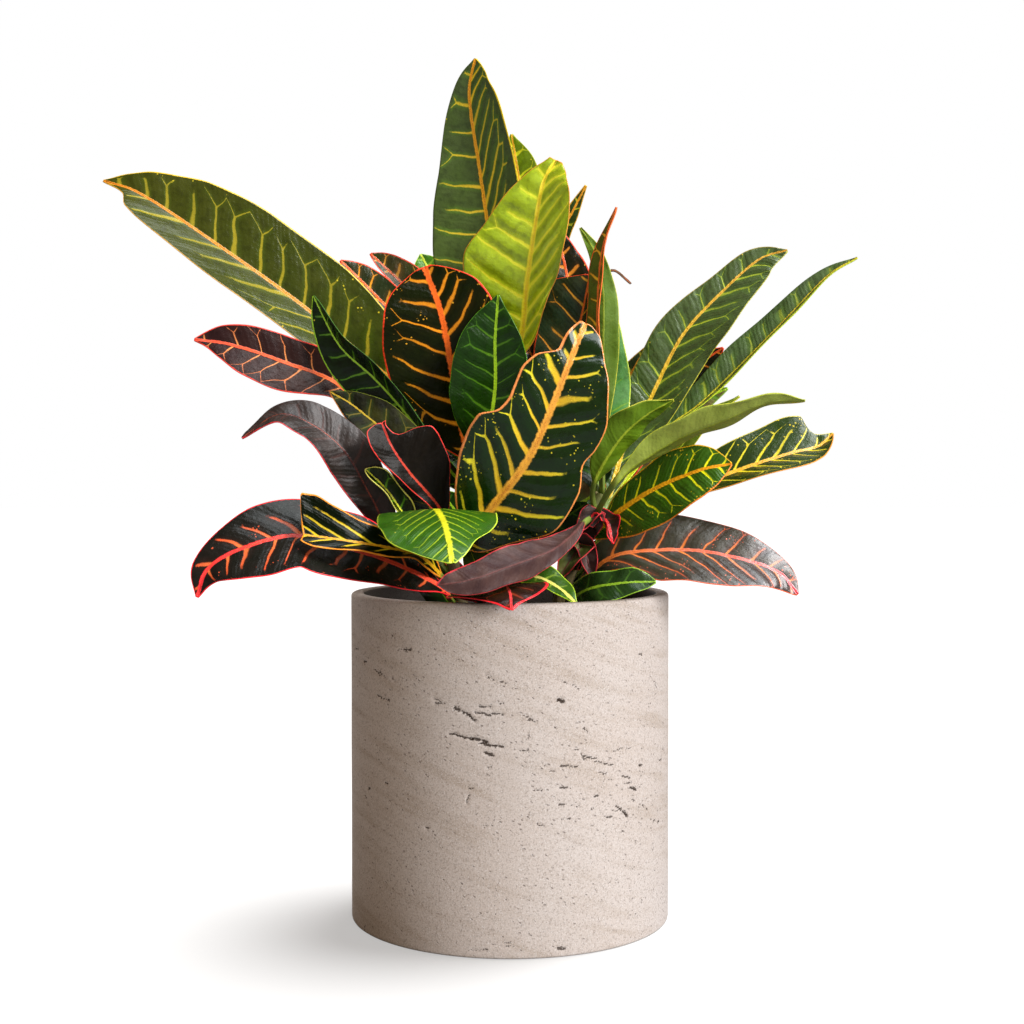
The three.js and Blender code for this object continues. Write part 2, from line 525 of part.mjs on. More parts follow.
function stem({ path, radius }, grow = 0) {
  const axis = curveThrough(path.map(vector));
  const rings = [];
  for (let i = 0; i <= STEM_STEPS; i++) {
    const u = i / STEM_STEPS;
    const along = axis.getTangentAt(u);
    const x = new THREE.Vector3(1, 0, 0).addScaledVector(along, -along.x).normalize();
    const y = along.clone().cross(x);
    const place = u * (radius.length - 1);
    const low = Math.min(Math.floor(place), radius.length - 2);
    const r = THREE.MathUtils.lerp(radius[low], radius[low + 1], place - low) + grow;
    const centre = axis.getPointAt(u);
    if (i === 0) centre.addScaledVector(along, -grow);
    if (i === STEM_STEPS) centre.addScaledVector(along, grow);
    const ring = [];
    for (let k = 0; k < STEM_SIDES; k++) {
      const angle = (2 * Math.PI * k) / STEM_SIDES;
      const point = centre.clone().addScaledVector(x, r * Math.cos(angle));
      ring.push(point.addScaledVector(y, r * Math.sin(angle)));
    }
    rings.push({ centre, ring });
  }
  const axisEnds = [rings[0].centre, rings.at(-1).centre];
  return skin(rings.map((r) => r.ring), ...axisEnds);
}

// A smooth curve through [place, value] keys that never overshoots them.
function through(keys, x) {
  const last = keys.length - 1;
  if (x <= keys[0][0]) return keys[0][1];
  if (x >= keys[last][0]) return keys[last][1];
  const slope = (i) => (keys[i + 1][1] - keys[i][1]) / (keys[i + 1][0] - keys[i][0]);
  const tangent = (i) => {
    if (i === 0) return slope(0);
    if (i === last) return slope(last - 1);
    const before = slope(i - 1);
    const after = slope(i);
    return before * after <= 0 ? 0 : (2 * before * after) / (before + after);
  };
  const i = keys.findIndex((key) => key[0] > x) - 1;
  const span = keys[i + 1][0] - keys[i][0];
  const s = (x - keys[i][0]) / span;
  return (
    (2 * s ** 3 - 3 * s ** 2 + 1) * keys[i][1] +
    (s ** 3 - 2 * s ** 2 + s) * span * tangent(i) +
    (3 * s ** 2 - 2 * s ** 3) * keys[i + 1][1] +
    (s ** 3 - s ** 2) * span * tangent(i + 1)
  );
}

// The half widths of the left and right halves, as [share of the blade's length, width] keys.
function halfWidths({ wide, tipHalf, outline }) {
  const half = wide / 2;
  const keys = outline ?? USUAL_OUTLINE.map(([t, share]) => [t, share * half, share * half]);
  const side = (column) => [
    [0, STALK_HALF],
    ...keys.map((key) => [key[0], key[column]]),
    [1, tipHalf],
  ];
  return [side(1), side(2)];
}

// A leaf with its stalk, as one closed blade: rings of a folded, waved section along the midrib.
function leaf(given, index) {
  const row = { ...USUAL, ...given };
  const { stalk, steps, wave, sweep } = row;
  const phase = index * LEAF_SHIFT;
  const root = curveThrough(STEMS[row.stem].path.map(vector)).getPointAt(row.at);
  const midrib = curveThrough([root, ...row.via.map(vector), vector(row.tip)]);
  const facing = row.facing.map((f) => vector(f).normalize());
  const widths = halfWidths(row);
  const stations = [0, stalk / 2];
  for (let i = 0; i <= steps; i++) {
    const share = 1 - (1 - i / steps) ** CROWDING;
    stations.push(stalk + (1 - stalk) * share);
  }
  const rings = stations.map((u) => {
    const t = Math.max((u - stalk) / (1 - stalk), 0);
    const centre = midrib.getPointAt(u);
    const along = midrib.getTangentAt(u);
    const up = facing[0].clone().lerp(facing.at(-1), u);
    up.addScaledVector(along, -up.dot(along)).normalize();
    const right = along.clone().cross(up);
    const spread = Math.min(t / FULL_FOLD, 1);
    const thinned = Math.min(t / RIB_REACH, 1) ** RIB_TAPER;
    const ribDepth = THREE.MathUtils.lerp(STALK_DEPTH, BLADE_DEPTH, thinned);
    const top = [];
    const under = [];
    for (const q of ACROSS) {
      const half = q < 0 ? 0 : 1;
      const side = q < 0 ? -1 : 1;
      const out = Math.abs(q) * through(widths[half], t);
      const fold = radians(row.fold[half]) * spread;
      const bend = radians(row.curl[half]) * spread * Math.abs(q);
      const rise = fold + bend;
      const mean = fold + bend / 2;
      const swell = wave * q * q * Math.sin(Math.PI * Math.min(t, 1)) ** WAVE_FADE;
      const turn = 2 * Math.PI * WAVES * t + phase + (side < 0 ? SIDE_SHIFT : 0);
      const ruffle = swell * Math.sin(turn);
      const point = centre
        .clone()
        .addScaledVector(right, side * out * Math.cos(mean))
        .addScaledVector(up, out * Math.sin(mean) + ruffle)
        .addScaledVector(along, sweep * out * spread);
      const normal = up.clone();
      if (q) normal.multiplyScalar(Math.cos(rise)).addScaledVector(right, -side * Math.sin(rise));
      const depth = BLADE_DEPTH + (ribDepth - BLADE_DEPTH) * (1 - Math.abs(q)) ** 2;
      top.push(point);
      under.unshift(point.clone().addScaledVector(normal, -depth));
    }
    return [...under, ...top];
  });
  const underSide = (k) => k < ACROSS.length - 1;
  return skin(rings, middle(rings[0]), middle(rings.at(-1)), underSide);
}

function middle(points) {
  return points.reduce((sum, p) => sum.add(p), new THREE.Vector3()).multiplyScalar(1 / points.length);
}

const group = new THREE.Group();

function add(name, made, color, roughness) {
  const { vertProperties, triVerts } = made.getMesh();
  const geometry = new THREE.BufferGeometry();
  geometry.setAttribute("position", new THREE.BufferAttribute(new Float32Array(vertProperties), 3));
  geometry.setIndex(new THREE.BufferAttribute(new Uint32Array(triVerts), 1));
  geometry.computeVertexNormals();
  const mesh = new THREE.Mesh(geometry, new THREE.MeshStandardMaterial({ color, roughness }));
  mesh.name = name;
  group.add(mesh);
}

const cleared = {};
for (const [name, row] of Object.entries(STEMS)) cleared[name] = stem(row, GAP);

add("pot", pot(), POT_COLOR, 0.9);
add("soil", soil(Object.values(cleared)), SOIL_COLOR, 1);
for (const [name, row] of Object.entries(STEMS)) add(`stem_${name}`, stem(row), STEM_COLOR, 0.8);
LEAVES.forEach((row, index) => {
  // The stalk ends a hair short of the stem that it grows from.
  add(row.name, leaf(row, index).subtract(cleared[row.stem]), LOOKS[row.look], 0.45);
});

export default group;
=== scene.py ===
# %% [markdown]
# # A potted croton, rebuilt piece by piece
#
# The object is a croton, a houseplant with leathery leaves whose veins and edges are yellow, orange
# or red, in a round pot that looks like washed stone. The solids of the pot, the soil, the stems and
# the leaves come in first as a fixed frame. This lesson dresses them: each solid is replaced by a
# finer mesh in the same place, and each mesh gets a finish made of nodes.
#
# Forms are typed in millimetres, because leaves and pots are easier to judge that way, and are turned
# into metres by the one value MM.

import math

import bpy
import numpy as np
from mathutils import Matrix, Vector, noise


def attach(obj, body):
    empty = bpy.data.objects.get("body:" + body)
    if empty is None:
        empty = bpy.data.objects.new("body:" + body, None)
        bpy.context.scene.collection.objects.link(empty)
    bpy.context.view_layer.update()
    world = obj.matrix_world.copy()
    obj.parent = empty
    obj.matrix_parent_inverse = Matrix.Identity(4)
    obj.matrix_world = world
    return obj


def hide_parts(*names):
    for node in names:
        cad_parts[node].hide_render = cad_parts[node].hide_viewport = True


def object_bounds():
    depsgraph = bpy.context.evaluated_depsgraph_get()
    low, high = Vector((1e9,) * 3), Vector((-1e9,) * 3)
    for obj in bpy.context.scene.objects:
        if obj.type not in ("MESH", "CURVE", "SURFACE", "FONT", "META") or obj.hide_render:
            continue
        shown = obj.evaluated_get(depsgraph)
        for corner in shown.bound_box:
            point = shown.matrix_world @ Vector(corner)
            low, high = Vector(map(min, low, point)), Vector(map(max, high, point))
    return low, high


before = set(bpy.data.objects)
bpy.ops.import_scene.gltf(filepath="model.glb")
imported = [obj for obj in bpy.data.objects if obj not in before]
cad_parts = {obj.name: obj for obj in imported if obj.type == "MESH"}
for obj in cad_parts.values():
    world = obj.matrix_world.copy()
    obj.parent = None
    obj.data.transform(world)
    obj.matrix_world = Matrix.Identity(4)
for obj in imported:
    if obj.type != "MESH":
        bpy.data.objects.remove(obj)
cad_low, cad_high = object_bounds()
MM = 0.001
cad_size = [round((b - a) / MM) for a, b in zip(cad_low, cad_high)]
print("solids:", len(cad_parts), "box in mm:", cad_size)

# %% [markdown]
# ## Camera, light and floor
#
# The camera goes in before anything else, so that each piece can be judged from where the photograph
# was taken: a metre in front of the pot, a little above its rim, tilted down by a little more than one
# degree. A lens of 55 mm on a full frame gives the same slight narrowing towards the pot's foot.
#
# A sun lamp with a wide angle is the simplest large soft light. It is equally strong everywhere, so
# the floor runs into the background without a visible edge. In the photograph the light comes from
# the right. The pot is a good light meter: it is brightest to the right, four times darker at its
# left edge, and warmer there. So it has a strong lamp on the right and a weak warm one in front.
#
# The leaves have five lamps. Three give them their colour: a small strong one on the right, a wide
# one in front and one behind. The other two only make them shine, and are softer, because the small
# lamp would burn white spots into the leaves and the wide ones would lay a haze on them.
#
# The floor and the sky are white only where the camera looks straight at them. For light that
# bounces they are as dim as a dark studio, or they would wash the shaded side out. The floor also
# has a lamp of its own, high on the right and a little behind, which lights nothing else and lays the
# short soft shadow to the left.

# %% Camera
CAMERA_AT = (1.27, -990, 277)
CAMERA_DOWN = 1.325
LENS = 55.02
SENSOR = 36
NEAREST = 50

scene = bpy.context.scene
camera = bpy.data.objects.new("camera", bpy.data.cameras.new("camera"))
camera.location = [c * MM for c in CAMERA_AT]
camera.rotation_euler = (math.radians(90 - CAMERA_DOWN), 0, 0)
camera.data.lens = LENS
camera.data.sensor_width = SENSOR
camera.data.clip_start = NEAREST * MM
scene.collection.objects.link(camera)
scene.camera = camera
scene.view_settings.view_transform = "Standard"
print("camera", CAMERA_AT, "lens", LENS)

# %% Lamps
# strength in W/m2, how far the lamp is turned from the front towards the right, its height and its
# angle across, in degrees, and its colour
PLANT_LAMPS = {
    "key": (5.3, 57, 36, 20, (1.0, 1.0, 1.0)),
    "front": (1.0, -5, 30, 60, (1.0, 0.98, 0.95)),
    "shine": (4.6, 57, 36, 44, (1.0, 1.0, 1.0)),
    "sheen": (2.4, 50, 68, 44, (0.88, 0.95, 1.0)),
    "behind": (1.7, 195, 35, 70, (1.0, 0.99, 0.97)),
}
SHINE_ONLY = ("shine", "sheen")
POT_LAMPS = {
    "pot_key": (5.0, 52, 12, 34, (0.91, 0.97, 1.03)),
    "pot_front": (0.65, -5, 25, 60, (1.0, 0.87, 0.7)),
    "pot_behind": (2.2, 195, 25, 50, (1.0, 0.98, 0.95)),
}
FLOOR_LAMP = (6.2, 122, 64, 42, (1.0, 1.0, 1.0))


def lamp(name, strength, turn, height, across, color):
    made = bpy.data.objects.new(name, bpy.data.lights.new(name, "SUN"))
    made.data.energy = strength
    made.data.angle = math.radians(across)
    made.data.color = color
    turn, height = math.radians(turn), math.radians(height)
    level = math.cos(height)
    towards = Vector((math.sin(turn) * level, -math.cos(turn) * level, math.sin(height)))
    made.rotation_euler = towards.to_track_quat("Z", "Y").to_euler()
    made.location = towards
    scene.collection.objects.link(made)
    return made


plant_lamps = {lamp_name: lamp(lamp_name, *values) for lamp_name, values in PLANT_LAMPS.items()}
pot_lamps = [lamp(lamp_name, *values) for lamp_name, values in POT_LAMPS.items()]
floor_lamp = lamp("floor_lamp", *FLOOR_LAMP)
for lamp_name, plant_lamp in plant_lamps.items():
    plant_lamp.visible_diffuse = lamp_name not in SHINE_ONLY
    plant_lamp.visible_glossy = lamp_name in SHINE_ONLY
print("lamps:", ", ".join([*PLANT_LAMPS, *POT_LAMPS]), "and one for the floor")

# %% [markdown]
# ## Writing node trees as sums
#
# Finishes and repeating pieces are node trees. Placing each Math node by hand makes long scripts
# that are hard to follow, so one small class wraps a socket and answers to Python's own operators:
# an expression such as (1 - share) * width adds the Math nodes by itself. Every other node comes
# from one method that takes its type, its settings and what goes into its sockets.

# %% Sockets that do sums
class Wire:
    """A socket of a node tree that Python's operators join up with Math nodes."""

    def __init__(self, tree, socket):
        self.tree = tree
        self.socket = socket

    def math(self, operation, *others, first=None):
        values = [self if first is None else first, *others]
        return self.tree.node("ShaderNodeMath", {"operation": operation}, dict(enumerate(values)))

    def __add__(self, other):
        return self.math("ADD", other)

    def __sub__(self, other):
        return self.math("SUBTRACT", other)

    def __mul__(self, other):
        return self.math("MULTIPLY", other)

    def __truediv__(self, other):
        return self.math("DIVIDE", other)

    def __radd__(self, other):
        return self.math("ADD", other)

    def __rsub__(self, other):
        return self.math("SUBTRACT", self, first=other)

    def __abs__(self):
        return self.math("ABSOLUTE")

    def floor(self):
        return self.math("FLOOR")

    def at_least(self, other):
        return self.math("MAXIMUM", other)

    def at_most(self, other):
        return self.math("MINIMUM", other)

    def out(self, name):
        """Another output of the same node."""
        return Wire(self.tree, find_socket(self.socket.node.outputs, name))


def find_socket(sockets, key):
    if isinstance(key, int):
        return sockets[key]
    for socket in sockets:
        if key in (socket.identifier, socket.name) and socket.enabled:
            return socket
    raise KeyError(f"{sockets[0].node.bl_idname} has no socket {key!r}")


class Tree:
    """Adds nodes to a shader tree or a geometry tree."""

    def __init__(self, nodes):
        self.nodes = nodes

    def node(self, kind, settings=None, inputs=None, output=0):
        made = self.nodes.nodes.new(kind)
        for key, value in (settings or {}).items():
            if key == "stops":
                self.set_stops(made.color_ramp, value)
            else:
                setattr(made, key, value)
        for key, value in (inputs or {}).items():
            self.feed(find_socket(made.inputs, key), value)
        return Wire(self, find_socket(made.outputs, output)) if made.outputs else made

    def feed(self, socket, value):
        if isinstance(value, Wire):
            self.nodes.links.new(value.socket, socket)
        elif value is not None:
            socket.default_value = value

    @staticmethod
    def set_stops(ramp, stops):
        while len(ramp.elements) < len(stops):
            ramp.elements.new(0.5)
        for element, (place, color) in zip(ramp.elements, stops):
            element.position = place
            element.color = color

    def split(self, vector):
        """The first number of a vector. The other two are its outputs Y and Z."""
        return self.node("ShaderNodeSeparateXYZ", inputs={"Vector": vector}, output="X")

    def scaled(self, vector, by):
        return self.node("ShaderNodeVectorMath", {"operation": "SCALE"}, {"Vector": vector, "Scale": by})


print("operators:", sorted(name.strip("_") for name in vars(Wire) if name.startswith("__")))

# %% [markdown]
# ## Colours and the helpers that finishes share
#
# Colours are typed as they look on a screen, as six hexadecimal digits, and turned into the linear
# values that the renderer wants. A finish is a tree with a shader at its end. It knows how to lay
# colours over each other, how to make a soft step, and how to read a pattern that is fixed to the
# piece. Heights, and the sizes of patterns on all but the leaves, are in metres.

# %% Finishes
def paint(code):
    """Linear colour of six hexadecimal digits."""
    values = []
    for place in (0, 2, 4):
        share = int(code[place:place + 2], 16) / 255
        values.append(share / 12.92 if share <= 0.04045 else ((share + 0.055) / 1.055) ** 2.4)
    return (*values, 1.0)


class Finish(Tree):
    """A material: its node tree, and the mixing that every finish needs."""

    def __init__(self, name):
        self.material = bpy.data.materials.new(name)
        self.material.use_nodes = True
        super().__init__(self.material.node_tree)
        self.nodes.nodes.clear()

    def blend(self, share, first, second):
        inputs = {"Factor_Float": share, "A_Color": first, "B_Color": second}
        return self.node("ShaderNodeMix", {"data_type": "RGBA"}, inputs, "Result_Color")

    def layered(self, color, *layers):
        """A colour with others laid over it. Each layer is how much it covers, and its colour."""
        for share, over in layers:
            color = self.blend(share, color, over)
        return color

    def between(self, share, first, second):
        """A number that goes from first to second as share goes from 0 to 1."""
        return first + share * (second - first)

    def varied(self, pattern, least, more):
        """A number that is least where the pattern is 0, and so much more where it is 1."""
        return pattern * more + least

    def step(self, value, low, high):
        """0 below low and 1 above high, with a soft change between. Low may be the larger."""
        inputs = {"Value": value, "From Min": low, "From Max": high}
        return self.node("ShaderNodeMapRange", {"interpolation_type": "SMOOTHSTEP"}, inputs)

    def noises(self, place, patterns):
        """One noise, from 0 to 1 and mostly near a half, for each scale and detail."""
        return [self.node("ShaderNodeTexNoise", inputs={"Vector": place, "Scale": scale, "Detail": detail})
                for scale, detail in patterns.values()]

    def chance(self, number):
        """One random value from 0 to 1 for each whole number."""
        return self.node("ShaderNodeTexWhiteNoise", {"noise_dimensions": "1D"}, {"W": number})

    def place(self):
        return self.node("ShaderNodeTexCoord", output="Object")

    def attribute(self, name, output="Fac"):
        """What the mesh keeps on its points under this name."""
        return self.node("ShaderNodeAttribute", {"attribute_name": name}, output=output)

    def stretched(self, place, size, turn=0.0):
        """The place counted in steps of the given size, along axes turned about the depth."""
        inputs = {"Vector": place, "Rotation": (0, turn, 0), "Scale": size}
        return self.node("ShaderNodeMapping", {"vector_type": "TEXTURE"}, inputs)

    def end(self, color, roughness, height, relief, gloss):
        """Joins the finish's parts in one shader."""
        bump = self.node("ShaderNodeBump", inputs={"Height": height, "Distance": 1.0, "Strength": relief})
        inputs = {"Base Color": color, "Roughness": roughness, "Normal": bump, "Specular IOR Level": gloss}
        shader = self.node("ShaderNodeBsdfPrincipled", inputs=inputs)
        self.node("ShaderNodeOutputMaterial", inputs={"Surface": shader})
        return self.material


print("paint('ffffff') is", paint("ffffff"))

# %% Floor and sky
FLOOR_HALF = 12.0  # metres
FLOOR_SEEN = 0.38
FLOOR_SPECKLE = 1.02
FLOOR_PATTERN = {"speckle": (30.0, 2.0)}
FLOOR_GLOW = 0.45
FLOOR_ROUGH = 0.9
FLOOR_BOUNCE = 0.2
SKY_SEEN = 1.0
SKY_LIGHT = 0.2
SKY_COLOR = (1.0, 0.77, 0.58, 1)


def grey(value):
    return (value, value, value, 1)


def floor_finish():
    """A lit white table for the camera, and a dim one for light that bounces off it."""
    finish = Finish("floor_paper")
    speckle, = finish.noises(finish.place(), FLOOR_PATTERN)
    paper = finish.blend(speckle, grey(FLOOR_SEEN), grey(FLOOR_SEEN * FLOOR_SPECKLE))
    table = {"Base Color": paper, "Roughness": FLOOR_ROUGH, "Emission Color": grey(1),
             "Emission Strength": FLOOR_GLOW}
    seen = finish.node("ShaderNodeBsdfPrincipled", inputs=table)
    dim = finish.node("ShaderNodeBsdfDiffuse", inputs={"Color": grey(FLOOR_BOUNCE)})
    camera_ray = finish.node("ShaderNodeLightPath", output="Is Camera Ray")
    both = finish.node("ShaderNodeMixShader", inputs={0: camera_ray, 1: dim, 2: seen})
    finish.node("ShaderNodeOutputMaterial", inputs={"Surface": both})
    return finish.material


floor_mesh = bpy.data.meshes.new("floor")
corners = [(x * FLOOR_HALF, y * FLOOR_HALF, 0) for x, y in ((-1, -1), (1, -1), (1, 1), (-1, 1))]
floor_mesh.from_pydata(corners, [], [(0, 1, 2, 3)])
floor_mesh.materials.append(floor_finish())
floor = bpy.data.objects.new("floor", floor_mesh)
scene.collection.objects.link(floor)

sky = bpy.data.worlds.new("sky")
sky.use_nodes = True
sky.node_tree.nodes.clear()
sky_tree = Tree(sky.node_tree)
straight = sky_tree.node("ShaderNodeLightPath", output="Is Camera Ray")
walls = sky_tree.node("ShaderNodeBackground", inputs={"Strength": SKY_LIGHT, "Color": SKY_COLOR})
backdrop = sky_tree.node("ShaderNodeBackground", inputs={"Strength": SKY_SEEN, "Color": grey(1)})
studio = sky_tree.node("ShaderNodeMixShader", inputs={0: straight, 1: walls, 2: backdrop})
sky_tree.node("ShaderNodeOutputWorld", inputs={"Surface": studio})
scene.world = sky
print("floor", 2 * FLOOR_HALF, "m wide, sky light", SKY_LIGHT)

# %% What each lamp lights
# The pot is added to these collections once it is made. On the floor only the pot casts a shadow,
# since no other can be made out in the photograph.
floor_only = bpy.data.collections.new("floor_only")
floor_only.objects.link(floor)
pot_only = bpy.data.collections.new("pot_only")
all_but_these = bpy.data.collections.new("all_but_these")
floor_lamp.light_linking.receiver_collection = floor_only
floor_lamp.light_linking.blocker_collection = pot_only
for pot_lamp in pot_lamps:
    pot_lamp.light_linking.receiver_collection = pot_only
for plant_lamp in plant_lamps.values():
    plant_lamp.light_linking.receiver_collection = all_but_these


def leave_out(thing):
    all_but_these.objects.link(thing)
    all_but_these.collection_objects[-1].light_linking.link_state = "EXCLUDE"


leave_out(floor)

# %% [markdown]
# ## Meshes out of number grids
#
# A pot, a heap of soil and a leaf are all grids of points bent into shape: rings that follow each
# other, joined by faces. One helper turns such a stack of rings into a closed mesh and puts the guide
# values of its finish on its points. Another sees to what every finished piece needs: its object at
# the origin, its body and the solid that it stands for.

# %% Rings into pieces
def ring_faces(rings, count):
    """Faces between rings of equal count, each ring closed."""
    start = np.arange(rings - 1)[:, None] * count
    here = np.arange(count)[None, :]
    there = (here + 1) % count
    corners = [start + here, start + there, start + count + there, start + count + here]
    return np.stack(corners, -1).reshape(-1, 4).tolist()


def end_faces(rings, count):
    """One face across the first ring, and one across the last."""
    last = (rings - 1) * count
    return [list(range(count))[::-1], list(range(last, last + count))]


def mesh_from(name, points, faces, values=None, uv=None):
    """A smooth mesh. values: numbers kept on its points. uv: two numbers for each point."""
    mesh = bpy.data.meshes.new(name)
    mesh.from_pydata(np.asarray(points).tolist(), [], faces)
    for key, numbers in (values or {}).items():
        numbers = np.asarray(numbers, np.float32)
        kind, field = ("FLOAT", "value") if numbers.ndim == 1 else ("FLOAT_VECTOR", "vector")
        mesh.attributes.new(key, kind, "POINT").data.foreach_set(field, numbers.ravel())
    if uv is not None:
        corners = np.empty(len(mesh.loops), np.int32)
        mesh.loops.foreach_get("vertex_index", corners)
        mesh.uv_layers.new(name="skin").data.foreach_set("uv", np.asarray(uv, np.float32)[corners].ravel())
    mesh.shade_smooth()
    return mesh


def place_piece(name, mesh, slot, material, *nodes):
    """The piece's object at the origin, riding on the plant and standing for its solids."""
    piece = bpy.data.objects.new(name, mesh)
    if not mesh.materials:
        mesh.materials.append(material)
    scene.collection.objects.link(piece)
    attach(piece, "root")
    if nodes:
        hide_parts(*nodes)
    return piece


print("a tube of 3 rings with 8 points each has", len(ring_faces(3, 8)), "faces")

# %% [markdown]
# ## The pot
#
# The real pot is cast in a mould, then washed, so that fine pits and short cracks stay open, and
# faint bands from the casting run over it at a slant. It is a plain body of revolution, so its mesh
# is one profile turned about the upright axis. The profile's rim and foot are rounded with arcs.
#
# The larger pits and cracks are where the real ones are. Each is a row in a table: where it lies on
# the skin, how long it is and how it slants. They are pressed into the mesh and also written on its
# points, where the finish sharpens them. The smallest pits come from noise in the finish alone. The
# inner wall is painted darker, as painted shade.

# %% The pot's form
POT_RADIUS = 100
POT_HEIGHT = 204
POT_WALL = 8.4
POT_FLOOR = 12
AXIS = 0.01  # the rings next to the axis are this wide
RINGS_UNDER = (AXIS, 30, 60, 85)
RINGS_INSIDE = (50, AXIS)
INNER_CORNER = 4
INNER_RINGS = 16
RIM_ROUND = 2.2
RIM_STEPS = 5
FOOT_ROUND = 1.4
FOOT_STEPS = 4
WALL_STEP = 1.75  # height of the wall's faces
FINE_BAND = (72, 172)  # heights between which the faces are finer, for the pits
FINE_FOOT = 14  # and below this height
FINE_STEP = 0.95
FRONT_SIDES = 300
FRONT_ARC = 160  # degrees of the front that these sides take up
BACK_SIDES = 130
PIT_DEPTH = 0.8
PIT_SOFT = 1.5  # half widths from its middle at which a pit ends
PIT_LEAST = 0.05  # added to its half width
NEAR = 0.5  # a point so near to a wall lies on it
UNDERSIDE = 1  # what is lower lies on the ground
UNEVEN = 0.12  # the skin is a little uneven to the hand
UNEVEN_TURNS = 2.2
UNEVEN_HEIGHT = 45

# degrees from the front towards the right, height, length, half width, degrees that it falls
# towards the right, and how deep and dark it is from 0 to 1
PITS = [
    (-70, 171, 11, 0.5, -6, 0.7), (-62, 2, 4, 0.4, 90, 0.8), (-61, 83, 2, 0.6, 27, 0.8),
    (-61, 165, 4, 0.6, -6, 0.9), (-59, 79, 2, 0.6, 30, 0.8), (-58, 89, 2, 0.6, -10, 0.9),
    (-52, 160, 6, 0.5, 25, 0.8), (-51, 146, 5, 0.6, 12, 0.8), (-49, 159, 7, 0.5, 27, 0.8),
    (-47, 95, 2, 0.6, -8, 0.9), (-47, 145, 5, 0.6, 7, 0.8), (-43, 157, 4, 0.4, 17, 0.6),
    (-43, 182, 3, 0.4, 48, 0.7), (-38, 176, 10, 0.5, 4, 0.8), (-29, 73, 2, 0.5, -6, 0.8),
    (-25, 148, 5, 0.5, 15, 0.7), (-24, 146, 7, 0.4, 6, 0.6), (-19, 129, 5, 0.5, -3, 1.0),
    (-16, 142, 10, 0.6, 22, 1.0), (-15, 127, 10, 0.6, 12, 1.0), (-14, 92, 5, 0.5, -70, 0.7),
    (-13, 98, 2, 0.5, -3, 0.6), (-13, 139, 7, 0.6, 38, 1.0), (-13, 177, 1, 0.5, -1, 0.8),
    (-10, 5, 9, 0.5, -3, 0.6), (-10, 126, 9, 0.7, 13, 1.0), (-9, 141, 9, 0.5, 9, 0.9),
    (-8, 77, 1, 0.5, -2, 0.7), (-8, 145, 8, 0.4, 7, 0.8), (-7, 110, 1, 0.5, -1, 0.8),
    (-7, 118, 5, 0.7, 19, 1.0), (-7, 163, 5, 0.6, 29, 0.5), (-6, 123, 13, 0.6, 7, 1.0),
    (-6, 161, 7, 0.5, 19, 0.5), (-4, 141, 6, 0.5, 4, 0.8), (-3, 132, 2, 0.4, -1, 0.6),
    (-3, 147, 3, 0.4, 0, 0.6), (-2, 8, 14, 0.4, 4, 0.5), (-2, 159, 6, 0.4, 20, 0.5),
    (-1, 10, 6, 0.4, 0, 0.4), (2, 156, 3, 0.4, 10, 0.5), (4, 69, 2, 0.5, 1, 0.7),
    (4, 120, 8, 0.5, 9, 0.7), (6, 139, 6, 0.5, 26, 0.6), (7, 137, 5, 0.5, 11, 0.6),
    (9, 44, 2, 0.5, 2, 0.7), (9, 97, 5, 0.6, 2, 0.7), (10, 77, 3, 0.6, 12, 0.8),
    (12, 111, 2, 0.5, 2, 0.8), (14, 108, 3, 0.5, 3, 0.7), (15, 133, 2, 0.5, 2, 0.8),
    (17, 5, 5, 0.6, 3, 1.0), (17, 148, 3, 1.0, 21, 1.0), (18, 98, 8, 0.4, 8, 0.8),
    (19, 80, 5, 0.4, 4, 0.7), (19, 88, 9, 0.4, 4, 0.7), (19, 158, 6, 0.4, 26, 0.6),
    (20, 110, 10, 0.4, 4, 0.8), (23, 44, 1, 0.5, 6, 0.7), (23, 86, 1, 0.6, 5, 0.9),
    (23, 119, 3, 0.5, 4, 0.6), (23, 155, 7, 0.4, 30, 0.5), (25, 115, 5, 0.7, 58, 0.6),
    (26, 130, 3, 0.8, 48, 0.7), (28, 114, 9, 0.5, 13, 0.9), (29, 84, 2, 0.5, 6, 0.6),
    (29, 167, 2, 0.4, 3, 0.6), (30, 91, 3, 0.7, -12, 0.8), (31, 111, 5, 0.4, 5, 0.7),
    (33, 104, 7, 0.4, 14, 0.7), (35, 71, 4, 0.4, 7, 0.6), (35, 78, 5, 0.5, 7, 0.8),
    (35, 109, 8, 0.5, 6, 0.7), (36, 39, 2, 0.5, 9, 0.6), (36, 100, 3, 0.5, 7, 0.6),
    (38, 81, 5, 0.5, 15, 0.7), (39, 116, 6, 0.4, 6, 0.5), (40, 69, 8, 0.4, 8, 0.7),
    (40, 82, 7, 0.6, 37, 1.0), (42, 117, 12, 0.4, 7, 0.5), (43, 78, 3, 1.0, 44, 1.0),
    (43, 100, 8, 0.5, 14, 0.7), (45, 96, 5, 0.5, 8, 0.6), (47, 85, 3, 0.6, 9, 0.8),
    (47, 92, 6, 0.7, 21, 1.0), (51, 69, 3, 0.5, 10, 0.7), (51, 105, 2, 0.7, 8, 1.0),
    (51, 171, 3, 0.7, 5, 0.9), (54, 79, 8, 0.5, 31, 0.6), (59, 146, 11, 0.4, 11, 0.4),
    (59, 155, 9, 0.5, 41, 0.5), (59, 175, 9, 0.4, 32, 0.4), (62, 68, 14, 0.5, 15, 0.8),
    (63, 148, 9, 0.5, 48, 0.5), (66, 104, 7, 0.5, 9, 0.7), (71, 109, 8, 0.5, 9, 0.6),
]
# The same kinds of pits where the photograph doesn't look: how many, the seed of their places, and
# between what their turn lies, the middle and the spread of their height, then the limits of the
# length, the half width, the fall and the depth.
BACK_PITS = 110
BACK_SEED = 11
BACK_TURNS = (82, 278)
BACK_HEIGHTS = (125, 26)
BACK_LIMITS = ((1, 9), (0.4, 0.8), (-5, 40), (0.5, 1))


